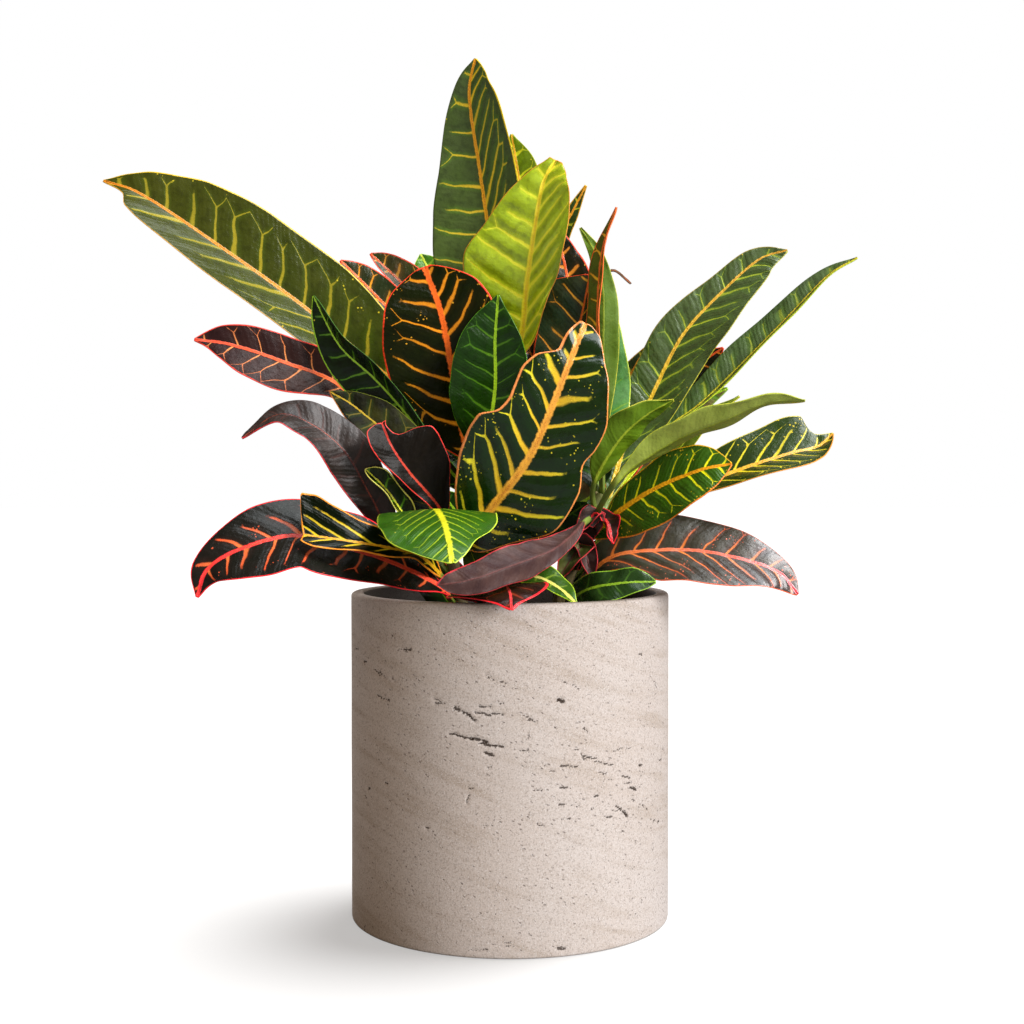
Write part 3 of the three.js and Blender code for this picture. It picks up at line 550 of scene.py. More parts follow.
def pits_all_round():
    rows = list(PITS)
    draw = np.random.default_rng(BACK_SEED)
    for _ in range(BACK_PITS):
        turn = draw.uniform(*BACK_TURNS)
        height = np.clip(draw.normal(*BACK_HEIGHTS), *FINE_BAND)
        rows.append((turn, height, *[draw.uniform(*limits) for limits in BACK_LIMITS]))
    return rows


def arc_points(r, z, radius, start, end, steps):
    turns = np.radians(np.linspace(start, end, steps + 1))
    return [(r + radius * math.cos(a), z + radius * math.sin(a)) for a in turns]


def pot_profile():
    inner = POT_RADIUS - POT_WALL
    low, high = FINE_BAND
    top = POT_HEIGHT - RIM_ROUND
    foot = np.linspace(FOOT_ROUND, FINE_FOOT, int((FINE_FOOT - FOOT_ROUND) / FINE_STEP))[1:]
    below = np.linspace(FINE_FOOT, low, int((low - FINE_FOOT) / WALL_STEP))[1:-1]
    middle = np.linspace(low, high, int((high - low) / FINE_STEP))
    above = np.linspace(high, top, int((top - high) / WALL_STEP))[1:-1]
    inside = np.linspace(top, POT_FLOOR + INNER_CORNER, INNER_RINGS)[1:]
    return [
        *[(r, 0) for r in RINGS_UNDER],
        *arc_points(POT_RADIUS - FOOT_ROUND, FOOT_ROUND, FOOT_ROUND, -90, 0, FOOT_STEPS),
        *[(POT_RADIUS, z) for z in (*foot, *below, *middle, *above)],
        *arc_points(POT_RADIUS - RIM_ROUND, top, RIM_ROUND, 0, 90, RIM_STEPS),
        *arc_points(inner + RIM_ROUND, top, RIM_ROUND, 90, 180, RIM_STEPS),
        *[(inner, z) for z in inside],
        *[(r, POT_FLOOR) for r in (inner - INNER_CORNER, *RINGS_INSIDE)],
    ]


def pot_turns():
    """Angles of the pot's sides: close together in front and wider apart behind."""
    edge = math.radians(FRONT_ARC / 2)
    front = np.linspace(-edge, edge, FRONT_SIDES, endpoint=False)
    back = np.linspace(edge, 2 * np.pi - edge, BACK_SIDES, endpoint=False)
    return np.concatenate([front, back]) - np.pi / 2


def pit_depths(turn, z):
    """How open a spot of the wall is: 0 on the plain skin, up to 1 in the middle of a deep pit."""
    opened = np.zeros(len(turn))
    for front_turn, height, length, half, falls, depth in pits_all_round():
        centre = math.radians(front_turn) - np.pi / 2
        x = ((turn - centre + np.pi) % (2 * np.pi) - np.pi) * POT_RADIUS
        y = z - height
        slant = math.radians(-falls)
        along = x * math.cos(slant) + y * math.sin(slant)
        aside = y * math.cos(slant) - x * math.sin(slant)
        away = np.hypot(np.maximum(np.abs(along) - length / 2, 0), aside)
        opened = np.maximum(opened, depth * np.clip(PIT_SOFT - away / (half + PIT_LEAST), 0, 1))
    return opened


def slow_wave(turn, z):
    return noise.noise((math.cos(turn) * UNEVEN_TURNS, math.sin(turn) * UNEVEN_TURNS, z / UNEVEN_HEIGHT))


def pot_mesh():
    profile = np.array(pot_profile())
    turns = pot_turns()
    sides = len(turns)
    r = np.repeat(profile[:, 0], sides)
    z = np.repeat(profile[:, 1], sides)
    turn = np.tile(turns, len(profile))
    outside = r > POT_RADIUS - NEAR
    inside = (r < POT_RADIUS - POT_WALL + NEAR) & (z > UNDERSIDE)
    pit = np.where(outside, pit_depths(turn, z), 0)
    uneven = np.array([slow_wave(a, h) for a, h in zip(turn, z)]) * UNEVEN
    r = r + np.where(outside, uneven - pit * PIT_DEPTH, 0)
    points = np.stack([r * np.cos(turn), r * np.sin(turn), z], 1) * MM
    faces = ring_faces(len(profile), sides) + end_faces(len(profile), sides)
    return mesh_from("pot_mesh", points, faces, {"pit": pit, "inside": inside})


pot_shape = pot_mesh()
print("pot:", len(pot_shape.polygons), "faces,", len(pits_all_round()), "pits")

# %% [markdown]
# ## The pot's finish
#
# From a step away the pot is one pale pinkish beige. Close up it has four scales: slanting bands that
# are a shade browner, soft clouds, sand-fine grain, and pits. The bands are noise squeezed into long
# streaks by a Mapping node that also turns them. The pits that the mesh carries get ragged edges by
# adding fine noise before the step that cuts them out, and they are darker and browner inside, where
# dust and shade collect.

# %% Washed stone
STONE = "b9aaa0"
STONE_BAND = "9e8b7a"
STONE_PIT = "2e2016"
# painted shade on the pot's inner wall
STONE_INSIDE_SHADE = "2c2723"
BAND_SLANT = math.radians(22)
BAND_SIZE = (0.06, 0.06, 0.006)
BAND_PATTERN = {"bands": (1.0, 3.0)}
BAND_SHOWS = (0.45, 0.75)
# a cover or roughness of two numbers: its value where a noise is 0, and what is added where it is 1
BAND_COVER = (0.9, -0.8)
# scale and detail
STONE_PATTERNS = {
    "clouds": (14.0, 3.0), "grain": (900.0, 2.0), "sand": (2200.0, 1.0), "ragged": (950.0, 2.0),
    "torn": (330.0, 2.0), "crowded": (22.0, 2.0),
}
# what lies over the stone: where its noise begins to show and is full, how much it covers, its colour
PALE_CLOUDS = (0.4, 0.75, 0.35, "c2b8b2")
DARK_GRAIN = (0.45, 0.75, 0.65, "84756a")
LIGHT_SAND = (0.5, 0.76, 0.6, "dcd6d2")
# the pits that the mesh carries: by how much two kinds of noise fray them, and where they open
PIT_FRAYED = (1.7, 1.3)
PIT_OPENS = (0.4, 0.66)
PIT_COVER = (0.5, 0.5)
# how much painted shade darkens the inner wall
INSIDE_SHADE_COVER = (0.65, 0.3)
STONE_ROUGH = (0.86, 0.1)
STONE_GLOSS = 0.25
# the wash crosses the front from upper left to lower right, where most pinholes are
WASH_FALLS = 0.45
WASH_HEIGHT = 0.126
WASH_HALF = 0.05
WASH_CROWDS = 0.14
PINHOLE_SIZE = (0.0036, 0.0036, 0.0018)
PINHOLE_EDGE = (0.3, 0.14)
PINHOLE_FRAYED = 0.2
PINHOLE_CROWDS = 0.8
PINHOLE_FEW = (1.22, 1.34)
PINHOLE_COVER = 0.8
LUCK_APART = 91.0  # the colour drawn for a pinhole, times this, is the seed of its luck
# metres from the lowest to the highest spot
CLOUD_RELIEF = 0.0003
GRAIN_RELIEF = 0.00014
SAND_RELIEF = 0.00006
PIT_RELIEF = 0.0005


def pinholes(finish, place, ragged, crowded):
    """Small pits, longer along the bands, and most of them where the wash ran."""
    squeezed = finish.stretched(place, PINHOLE_SIZE, BAND_SLANT)
    cells = finish.node("ShaderNodeTexVoronoi", inputs={"Vector": squeezed, "Scale": 1.0})
    drawn = finish.node("ShaderNodeSeparateColor", inputs={"Color": cells.out("Color")})
    lucky = finish.chance(drawn * LUCK_APART)
    at_side = finish.split(place)
    off_wash = abs(at_side.out("Z") + at_side * WASH_FALLS - WASH_HEIGHT)
    crowd = crowded * PINHOLE_CROWDS + finish.step(off_wash, WASH_HALF, 0.0) * WASH_CROWDS
    few = finish.step(lucky + crowd, *PINHOLE_FEW)
    off = cells.out("Distance") + (ragged - 0.5) * PINHOLE_FRAYED
    return finish.step(off, *PINHOLE_EDGE) * few * PINHOLE_COVER


def pot_finish():
    finish = Finish("washed_stone")
    place = finish.place()
    clouds, grain, sand, ragged, torn, crowded = finish.noises(place, STONE_PATTERNS)
    bands, = finish.noises(finish.stretched(place, BAND_SIZE, BAND_SLANT), BAND_PATTERN)
    banded = finish.step(bands, *BAND_SHOWS) * finish.varied(clouds, *BAND_COVER)
    color = finish.blend(banded, paint(STONE), paint(STONE_BAND))
    for pattern, layer in ((clouds, PALE_CLOUDS), (grain, DARK_GRAIN), (sand, LIGHT_SAND)):
        start, full, share, tint = layer
        color = finish.blend(finish.step(pattern, start, full) * share, color, paint(tint))
    # pits that the mesh carries, with frayed edges
    pit = finish.attribute("pit")
    fine, coarse = PIT_FRAYED
    hole = finish.step(pit + (ragged - 0.5) * fine + (torn - 0.5) * coarse, *PIT_OPENS)
    opened = hole.at_least(pinholes(finish, place, ragged, crowded))
    # the inner wall painted darker: painted shade
    shaded = finish.attribute("inside") * finish.varied(clouds, *INSIDE_SHADE_COVER)
    dark = (opened * finish.varied(pit, *PIT_COVER)).at_most(1.0)
    color = finish.layered(color, (shaded, paint(STONE_INSIDE_SHADE)), (dark, paint(STONE_PIT)))
    height = clouds * CLOUD_RELIEF + grain * GRAIN_RELIEF + sand * SAND_RELIEF - opened * PIT_RELIEF
    return finish.end(color, finish.varied(grain, *STONE_ROUGH), height, relief=0.9, gloss=STONE_GLOSS)


pot_piece = place_piece("stone_pot", pot_shape, "pot", pot_finish(), "pot")
pot_only.objects.link(pot_piece)
leave_out(pot_piece)
print("pot finish has", len(pot_piece.active_material.node_tree.nodes), "nodes")

# %% [markdown]
# ## Soil
#
# Potting soil is dark, uneven and full of bits: bark, fibre and crumbs. Only its edge can be seen
# between the leaves, but from above it shows well. The heap is a turned mesh whose top is pushed up
# and down by noise. The crumbs repeat hundreds of times, so Geometry Nodes scatter them: points on
# the upward faces of the heap, a small stone shape on each, then a random turn and size.

# %% The heap
SOIL_LEVEL = 178
SOIL_HEAPED = 1.6  # how much higher the middle is than the edge
SOIL_EDGE = POT_RADIUS - POT_WALL - 0.8
SOIL_FOOT = POT_FLOOR + 0.4
SOIL_MIDDLE = 0.02  # share of the edge at which the rings end
SOIL_SIDES = 96
SOIL_RINGS = 34
SOIL_LUMPS = ((16, 3, 1.8), (5, 8, 0.8))  # distance from lump to lump, layer of the noise, height
SOIL_PATTERNS = {"crumbs": (260.0, 4.0), "patches": (50.0, 2.0)}
SOIL_COLORS = ((0.25, "120c08"), (0.5, "2c1f15"), (0.72, "4a3423"), (0.9, "7a5c3e"))
SOIL_MIX = (0.5, 0.3, 0.4)  # how much crumbs, patches and each crumb's own tone say in the colour
SOIL_ROUGH = (0.85, 0.12)
SOIL_GLOSS = 0.25
SOIL_RELIEF = 0.0012


def soil_height(x, y, share):
    lumps = sum(noise.noise((x / apart, y / apart, layer)) * tall for apart, layer, tall in SOIL_LUMPS)
    return SOIL_LEVEL - SOIL_HEAPED * share + lumps


def soil_mesh():
    turns = np.linspace(0, 2 * np.pi, SOIL_SIDES, endpoint=False)
    rings = [[(SOIL_EDGE * math.cos(a), SOIL_EDGE * math.sin(a), SOIL_FOOT) for a in turns]]
    for share in np.linspace(1, SOIL_MIDDLE, SOIL_RINGS):
        places = [(SOIL_EDGE * share * math.cos(a), SOIL_EDGE * share * math.sin(a)) for a in turns]
        rings.append([(x, y, soil_height(x, y, share)) for x, y in places])
    faces = ring_faces(len(rings), SOIL_SIDES) + end_faces(len(rings), SOIL_SIDES)
    return mesh_from("soil_mesh", np.array(rings).reshape(-1, 3) * MM, faces)


def soil_finish():
    finish = Finish("potting_soil")
    crumbs, patches = finish.noises(finish.place(), SOIL_PATTERNS)
    fine, coarse, own = SOIL_MIX
    mix = crumbs * fine + patches * coarse + finish.attribute("tone") * own
    stops = [(place, paint(tint)) for place, tint in SOIL_COLORS]
    color = finish.node("ShaderNodeValToRGB", {"stops": stops}, {"Fac": mix})
    return finish.end(color, finish.varied(crumbs, *SOIL_ROUGH), crumbs * SOIL_RELIEF, relief=1.0,
                      gloss=SOIL_GLOSS)


soil_look = soil_finish()
soil_piece = place_piece("soil_heap", soil_mesh(), "soil", soil_look, "soil")
print("soil:", len(soil_piece.data.polygons), "faces")

# %% Crumbs by Geometry Nodes
CRUMBS = 2300
CRUMBS_ABOVE = 170  # height over which they lie
CRUMBS_DENSITY = 120000.0  # in a square metre, more than are kept
CRUMB_SIZE = (1.1, 3.4)
CRUMB_SHAPE = ((0.5, 0.6, 0.3), (1.5, 1.0, 0.8))
CRUMB_BALL = (0.5, 1)  # radius before it is scaled, and rounds of subdivision
FULL_TURN = (6.28, 6.28, 6.28)
SEEDS = {"place": 5, "turn": 3, "size": 4, "shape": 5, "tone": 6}


class Shaper(Tree):
    """A Geometry Nodes tree with named inputs, applied to a source and turned into a plain mesh."""

    def __init__(self, name, inputs):
        super().__init__(bpy.data.node_groups.new(name, "GeometryNodeTree"))
        sockets = self.nodes.interface
        sockets.new_socket("Geometry", in_out="INPUT", socket_type="NodeSocketGeometry")
        for label, kind in inputs.items():
            sockets.new_socket(label, in_out="INPUT", socket_type="NodeSocket" + kind)
        sockets.new_socket("Geometry", in_out="OUTPUT", socket_type="NodeSocketGeometry")
        given = self.node("NodeGroupInput")
        self.source = given.out("Geometry")
        self.given = {label: given.out(label) for label in inputs}

    def random(self, name, kind="FLOAT", low=None, high=None):
        inputs = {"Min": low, "Max": high, "Seed": SEEDS[name]}
        return self.node("FunctionNodeRandomValue", {"data_type": kind}, inputs, "Value")

    def ball(self, radius, rounds):
        inputs = {"Radius": radius, "Subdivisions": rounds}
        return self.node("GeometryNodeMeshIcoSphere", inputs=inputs, output="Mesh")

    def marked(self, instances, name, value):
        """Instances that keep a value for their finish."""
        settings = {"data_type": "FLOAT", "domain": "INSTANCE"}
        inputs = {"Geometry": instances, "Name": name, "Value": value}
        return self.node("GeometryNodeStoreNamedAttribute", settings, inputs)

    def end(self, geometry):
        real = self.node("GeometryNodeRealizeInstances", inputs={"Geometry": geometry})
        inputs = {"Geometry": real, "Material": self.given["Material"]}
        painted = self.node("GeometryNodeSetMaterial", inputs=inputs)
        self.node("NodeGroupOutput", inputs={"Geometry": painted})

    def apply(self, source, name, chosen):
        """The mesh that the tree makes of source, which is removed afterwards."""
        modifier = source.modifiers.new(self.nodes.name, "NODES")
        modifier.node_group = self.nodes
        for item in self.nodes.interface.items_tree:
            if item.in_out == "INPUT" and item.name in chosen:
                modifier[item.identifier] = chosen[item.name]
        bpy.context.view_layer.update()
        evaluated = source.evaluated_get(bpy.context.evaluated_depsgraph_get())
        mesh = bpy.data.meshes.new_from_object(evaluated)
        source.modifiers.remove(modifier)
        bpy.data.objects.remove(source)
        mesh.name = name
        return mesh


def crumb_tree():
    shaper = Shaper("scatter_crumbs", {"Count": "Int", "Smallest": "Float", "Largest": "Float",
                                       "Level": "Float", "Material": "Material"})
    given = shaper.given
    height = shaper.split(shaper.node("GeometryNodeInputPosition")).out("Z")
    top = shaper.node("FunctionNodeCompare", {"operation": "GREATER_THAN"},
                      {"A": height, "B": given["Level"]})
    area = {"Mesh": shaper.source, "Selection": top, "Density": CRUMBS_DENSITY, "Seed": SEEDS["place"]}
    spread = shaper.node("GeometryNodeDistributePointsOnFaces", inputs=area, output="Points")
    extra = shaper.node("FunctionNodeCompare", {"data_type": "INT", "operation": "GREATER_EQUAL"},
                        {"A": shaper.node("GeometryNodeInputIndex"), "B": given["Count"]})
    kept = shaper.node("GeometryNodeDeleteGeometry", {"domain": "POINT"},
                       {"Geometry": spread, "Selection": extra})
    size = shaper.random("size", low=given["Smallest"], high=given["Largest"])
    shape = shaper.random("shape", "FLOAT_VECTOR", *CRUMB_SHAPE)
    crumbs = shaper.node("GeometryNodeInstanceOnPoints", inputs={
        "Points": kept, "Instance": shaper.ball(*CRUMB_BALL), "Scale": shaper.scaled(shape, size),
        "Rotation": shaper.random("turn", "FLOAT_VECTOR", (0, 0, 0), FULL_TURN)})
    shaper.end(shaper.marked(crumbs, "tone", shaper.random("tone")))
    return shaper


ground = bpy.data.objects.new("ground_for_crumbs", soil_piece.data.copy())
scene.collection.objects.link(ground)
smallest, largest = CRUMB_SIZE
crumb_mesh = crumb_tree().apply(ground, "crumb_mesh", {
    "Count": CRUMBS, "Smallest": smallest * MM, "Largest": largest * MM, "Level": CRUMBS_ABOVE * MM,
    "Material": soil_look})
place_piece("soil_crumbs", crumb_mesh, "soil", soil_look)
print("crumbs:", len(crumb_mesh.polygons), "faces")

# %% [markdown]
# ## Stems
#
# Four woody stems carry the leaves. On the real plant they are green-brown, and ringed with the
# crescent scars of leaves that have dropped. A stem follows a path, so Geometry Nodes make it: the
# path becomes a tube that thins upwards, and a second branch of the tree sets a small flattened
# ball on the path every few millimetres, each turned by the golden angle from the one below, as the
# leaves once were.

# %% Paths of the stems
# points of the axis, and the radius at equal distances along it
STEMS = {
    "main": ([[-4, 12, 160], [-9, 14, 230], [-14, 12, 280], [-12, 8, 332]], [6, 5.4, 4.6, 3.4]),
    "right": ([[22, -10, 160], [36, -20, 215], [50, -26, 248], [56, -26, 266]], [5.5, 5, 4.2, 3.4]),
    "left": ([[-24, -30, 160], [-30, -38, 200], [-34, -44, 222], [-36, -46, 240]], [5, 4.6, 4, 3.2]),
    "back": ([[4, 42, 160], [8, 52, 215], [6, 60, 245], [2, 64, 262]], [5, 4.6, 4, 3.2]),
}
CURVE_SAMPLES = 200


class Path:
    """A smooth curve through given points, read by the share of its length."""

    def __init__(self, points):
        self.points = np.array(points, float)
        first, last = 2 * self.points[0] - self.points[1], 2 * self.points[-1] - self.points[-2]
        self.extended = np.vstack([first, self.points, last])
        self.shares = np.linspace(0, 1, CURVE_SAMPLES + 1)
        steps = np.linalg.norm(np.diff(self.at(self.shares), axis=0), axis=1)
        self.lengths = np.concatenate([[0], np.cumsum(steps)])
        self.length = self.lengths[-1]

    def at(self, t):
        spans = len(self.points) - 1
        t = np.asarray(t, float) * spans
        i = np.minimum(np.floor(t).astype(int), spans - 1)
        s = (t - i)[:, None]
        before, here, there, after = (self.extended[i + k] for k in range(4))
        leaving, arriving = (there - before) / 2, (after - here) / 2
        square = -3 * here + 3 * there - 2 * leaving - arriving
        cube = 2 * here - 2 * there + leaving + arriving
        return here + leaving * s + square * s ** 2 + cube * s ** 3

    def place(self, u):
        return self.at(np.interp(np.clip(u, 0, 1) * self.length, self.lengths, self.shares))

    def direction(self, u, reach=1e-3):
        way = self.place(np.minimum(u + reach, 1)) - self.place(np.maximum(u - reach, 0))
        return way / np.linalg.norm(way, axis=1)[:, None]


stem_paths = {name: Path(points) for name, (points, _) in STEMS.items()}
print("stem lengths in mm:", {name: round(path.length) for name, path in stem_paths.items()})

# %% Stems by Geometry Nodes
STEM_SIDES = 28
STEM_POINTS = 110
SCAR_STEP = 6.5
SCAR_RADIUS = 2.3
SCAR_SHAPE = (0.55, 1.0, 0.62)
SCAR_OUT = 0.8  # of the stem's radius
SCAR_ROUNDS = 3
BARK_SWELLING = 0.5
BARK_RIPPLES = {"Scale": 320.0, "Detail": 2.0}
GOLDEN_ANGLE = math.radians(137.5)


def stem_curve(name, radii):
    """The stem's axis as a curve whose points carry the radius."""
    data = bpy.data.curves.new(name, "CURVE")
    data.dimensions = "3D"
    spline = data.splines.new("POLY")
    spline.points.add(STEM_POINTS - 1)
    shares = np.linspace(0, 1, STEM_POINTS)
    places = stem_paths[name].place(shares) * MM
    thick = np.interp(shares, np.linspace(0, 1, len(radii)), radii) * MM
    for point, place, radius in zip(spline.points, places, thick):
        point.co = (*place, 1)
        point.radius = radius
    curve = bpy.data.objects.new(name, data)
    scene.collection.objects.link(curve)
    return curve


def bark_tube(shaper, radius):
    """The tube of a stem, with the ripples of its bark."""
    ring = shaper.node("GeometryNodeCurvePrimitiveCircle",
                       inputs={"Resolution": shaper.given["Sides"], "Radius": 1.0})
    tube = shaper.node("GeometryNodeCurveToMesh", inputs={
        "Curve": shaper.source, "Profile Curve": ring, "Fill Caps": True, "Scale": radius})
    place = shaper.node("GeometryNodeInputPosition")
    ripple = shaper.node("ShaderNodeTexNoise", inputs={"Vector": place, **BARK_RIPPLES})
    push = shaper.scaled(shaper.node("GeometryNodeInputNormal"), (ripple - 0.5) * shaper.given["Swelling"])
    return shaper.node("GeometryNodeSetPosition", inputs={"Geometry": tube, "Offset": push})


def leaf_scars(shaper, radius):
    """Small flattened balls round the stem, turned by the golden angle from one to the next."""
    spaced = shaper.node("GeometryNodeResampleCurve", {"mode": "LENGTH"},
                         {"Curve": shaper.source, "Length": shaper.given["Scar Step"]})
    turn = shaper.node("GeometryNodeInputIndex") * GOLDEN_ANGLE
    out = shaper.node("ShaderNodeCombineXYZ", inputs={"X": turn.math("COSINE"), "Y": turn.math("SINE")})
    moved = shaper.node("GeometryNodeSetPosition",
                        inputs={"Geometry": spaced, "Offset": shaper.scaled(out, radius * SCAR_OUT)})
    facing = shaper.node("FunctionNodeAlignRotationToVector", {"axis": "X"}, {"Vector": out})
    scars = shaper.node("GeometryNodeInstanceOnPoints", inputs={
        "Points": moved, "Instance": shaper.ball(shaper.given["Scar Radius"], SCAR_ROUNDS),
        "Rotation": facing, "Scale": SCAR_SHAPE})
    return shaper.marked(scars, "scar", 1.0)


def stem_tree():
    shaper = Shaper("grow_stem", {"Sides": "Int", "Scar Step": "Float", "Scar Radius": "Float",
                                  "Swelling": "Float", "Material": "Material"})
    radius = shaper.node("GeometryNodeInputRadius")
    both = shaper.node("GeometryNodeJoinGeometry")
    for part in (bark_tube(shaper, radius), leaf_scars(shaper, radius)):
        shaper.nodes.links.new(part.socket, both.socket.node.inputs["Geometry"])
    shaper.end(both)
    return shaper


stem_shaper = stem_tree()
print("the stems' tree has", len(stem_shaper.nodes.nodes), "nodes")

# %% Bark
STREAK_SIZE = (1, 1, 4)
STREAK_PATTERN = {"streaks": (420.0, 3.0)}
BARK_PATTERN = {"patches": (70.0, 2.0)}
BARK_YOUNG = (0.21, 0.29)  # heights between which the bark turns from brown to green
BARK_COLORS = ("4a3d26", "80704a")
YOUNG_BARK = "6f7c3a"
YOUNG_UNEVEN = 0.06
YOUNG_COVER = 0.8
SCAR_COLOR = "a8906a"
SCAR_COVER = 0.55
BARK_ROUGH = (0.6, 0.25)
BARK_GLOSS = 0.5
BARK_RELIEF = 0.0006


def bark_finish():
    finish = Finish("young_bark")
    place = finish.place()
    streaks, = finish.noises(finish.stretched(place, STREAK_SIZE), STREAK_PATTERN)
    patches, = finish.noises(place, BARK_PATTERN)
    young = finish.step(finish.split(place).out("Z") + (patches - 0.5) * YOUNG_UNEVEN, *BARK_YOUNG)
    color = finish.layered(finish.blend(streaks, *map(paint, BARK_COLORS)),
                           (young * YOUNG_COVER, paint(YOUNG_BARK)),
                           (finish.attribute("scar") * SCAR_COVER, paint(SCAR_COLOR)))
    return finish.end(color, finish.varied(streaks, *BARK_ROUGH), streaks * BARK_RELIEF, relief=0.9,
                      gloss=BARK_GLOSS)


bark = bark_finish()
for stem_name, (_, stem_radii) in STEMS.items():
    stem_shape = stem_shaper.apply(stem_curve(stem_name, stem_radii), "stem_" + stem_name, {
        "Sides": STEM_SIDES, "Scar Step": SCAR_STEP * MM, "Scar Radius": SCAR_RADIUS * MM,
        "Swelling": BARK_SWELLING * MM, "Material": bark})
    place_piece("stem_of_" + stem_name, stem_shape, "stem", bark, "stem_" + stem_name)
    print("stem", stem_name, "has", len(stem_shape.polygons), "faces")

# %% [markdown]
# ## Leaves
#
# Every leaf has its own row: what it looks like, which stem it leaves and how far up, the points that
# its midrib passes, where its upper side looks at the base and, if it turns, at the tip, and how far
# its two halves fold up, in degrees. The outline gives its half widths to the left and to the right at
# so many percent of the blade. A leaf without an outline has the usual one, as wide as it says.
#
# One function turns a row into a closed blade. It walks along the midrib, and at each station lays out
# a section: a half to the left and a half to the right, folded, curled and ruffled, with a thin
# underside that thickens into the midrib's ridge and, lower down, into the round stalk.
#
# The rows are the ones that the solids were made from, so that each blade lies where its solid does.
# The mesh only has many more stations and points across.

# %% Rows of the leaves
USUAL_LEAF = dict(fold=[12, 12], stalk=0.14, wave=1.2, curl=[0, 0], sweep=0, tip_half=0.9, hidden=False)


def leaf(name, look, stem, at, path, facing, **rest):
    """A leaf's row. at: how far up the stem. path: the midrib's points after the one on the stem."""
    given = dict(name=name, look=look, stem=stem, at=at, path=path, facing=facing)
    return {**USUAL_LEAF, **given, **rest}


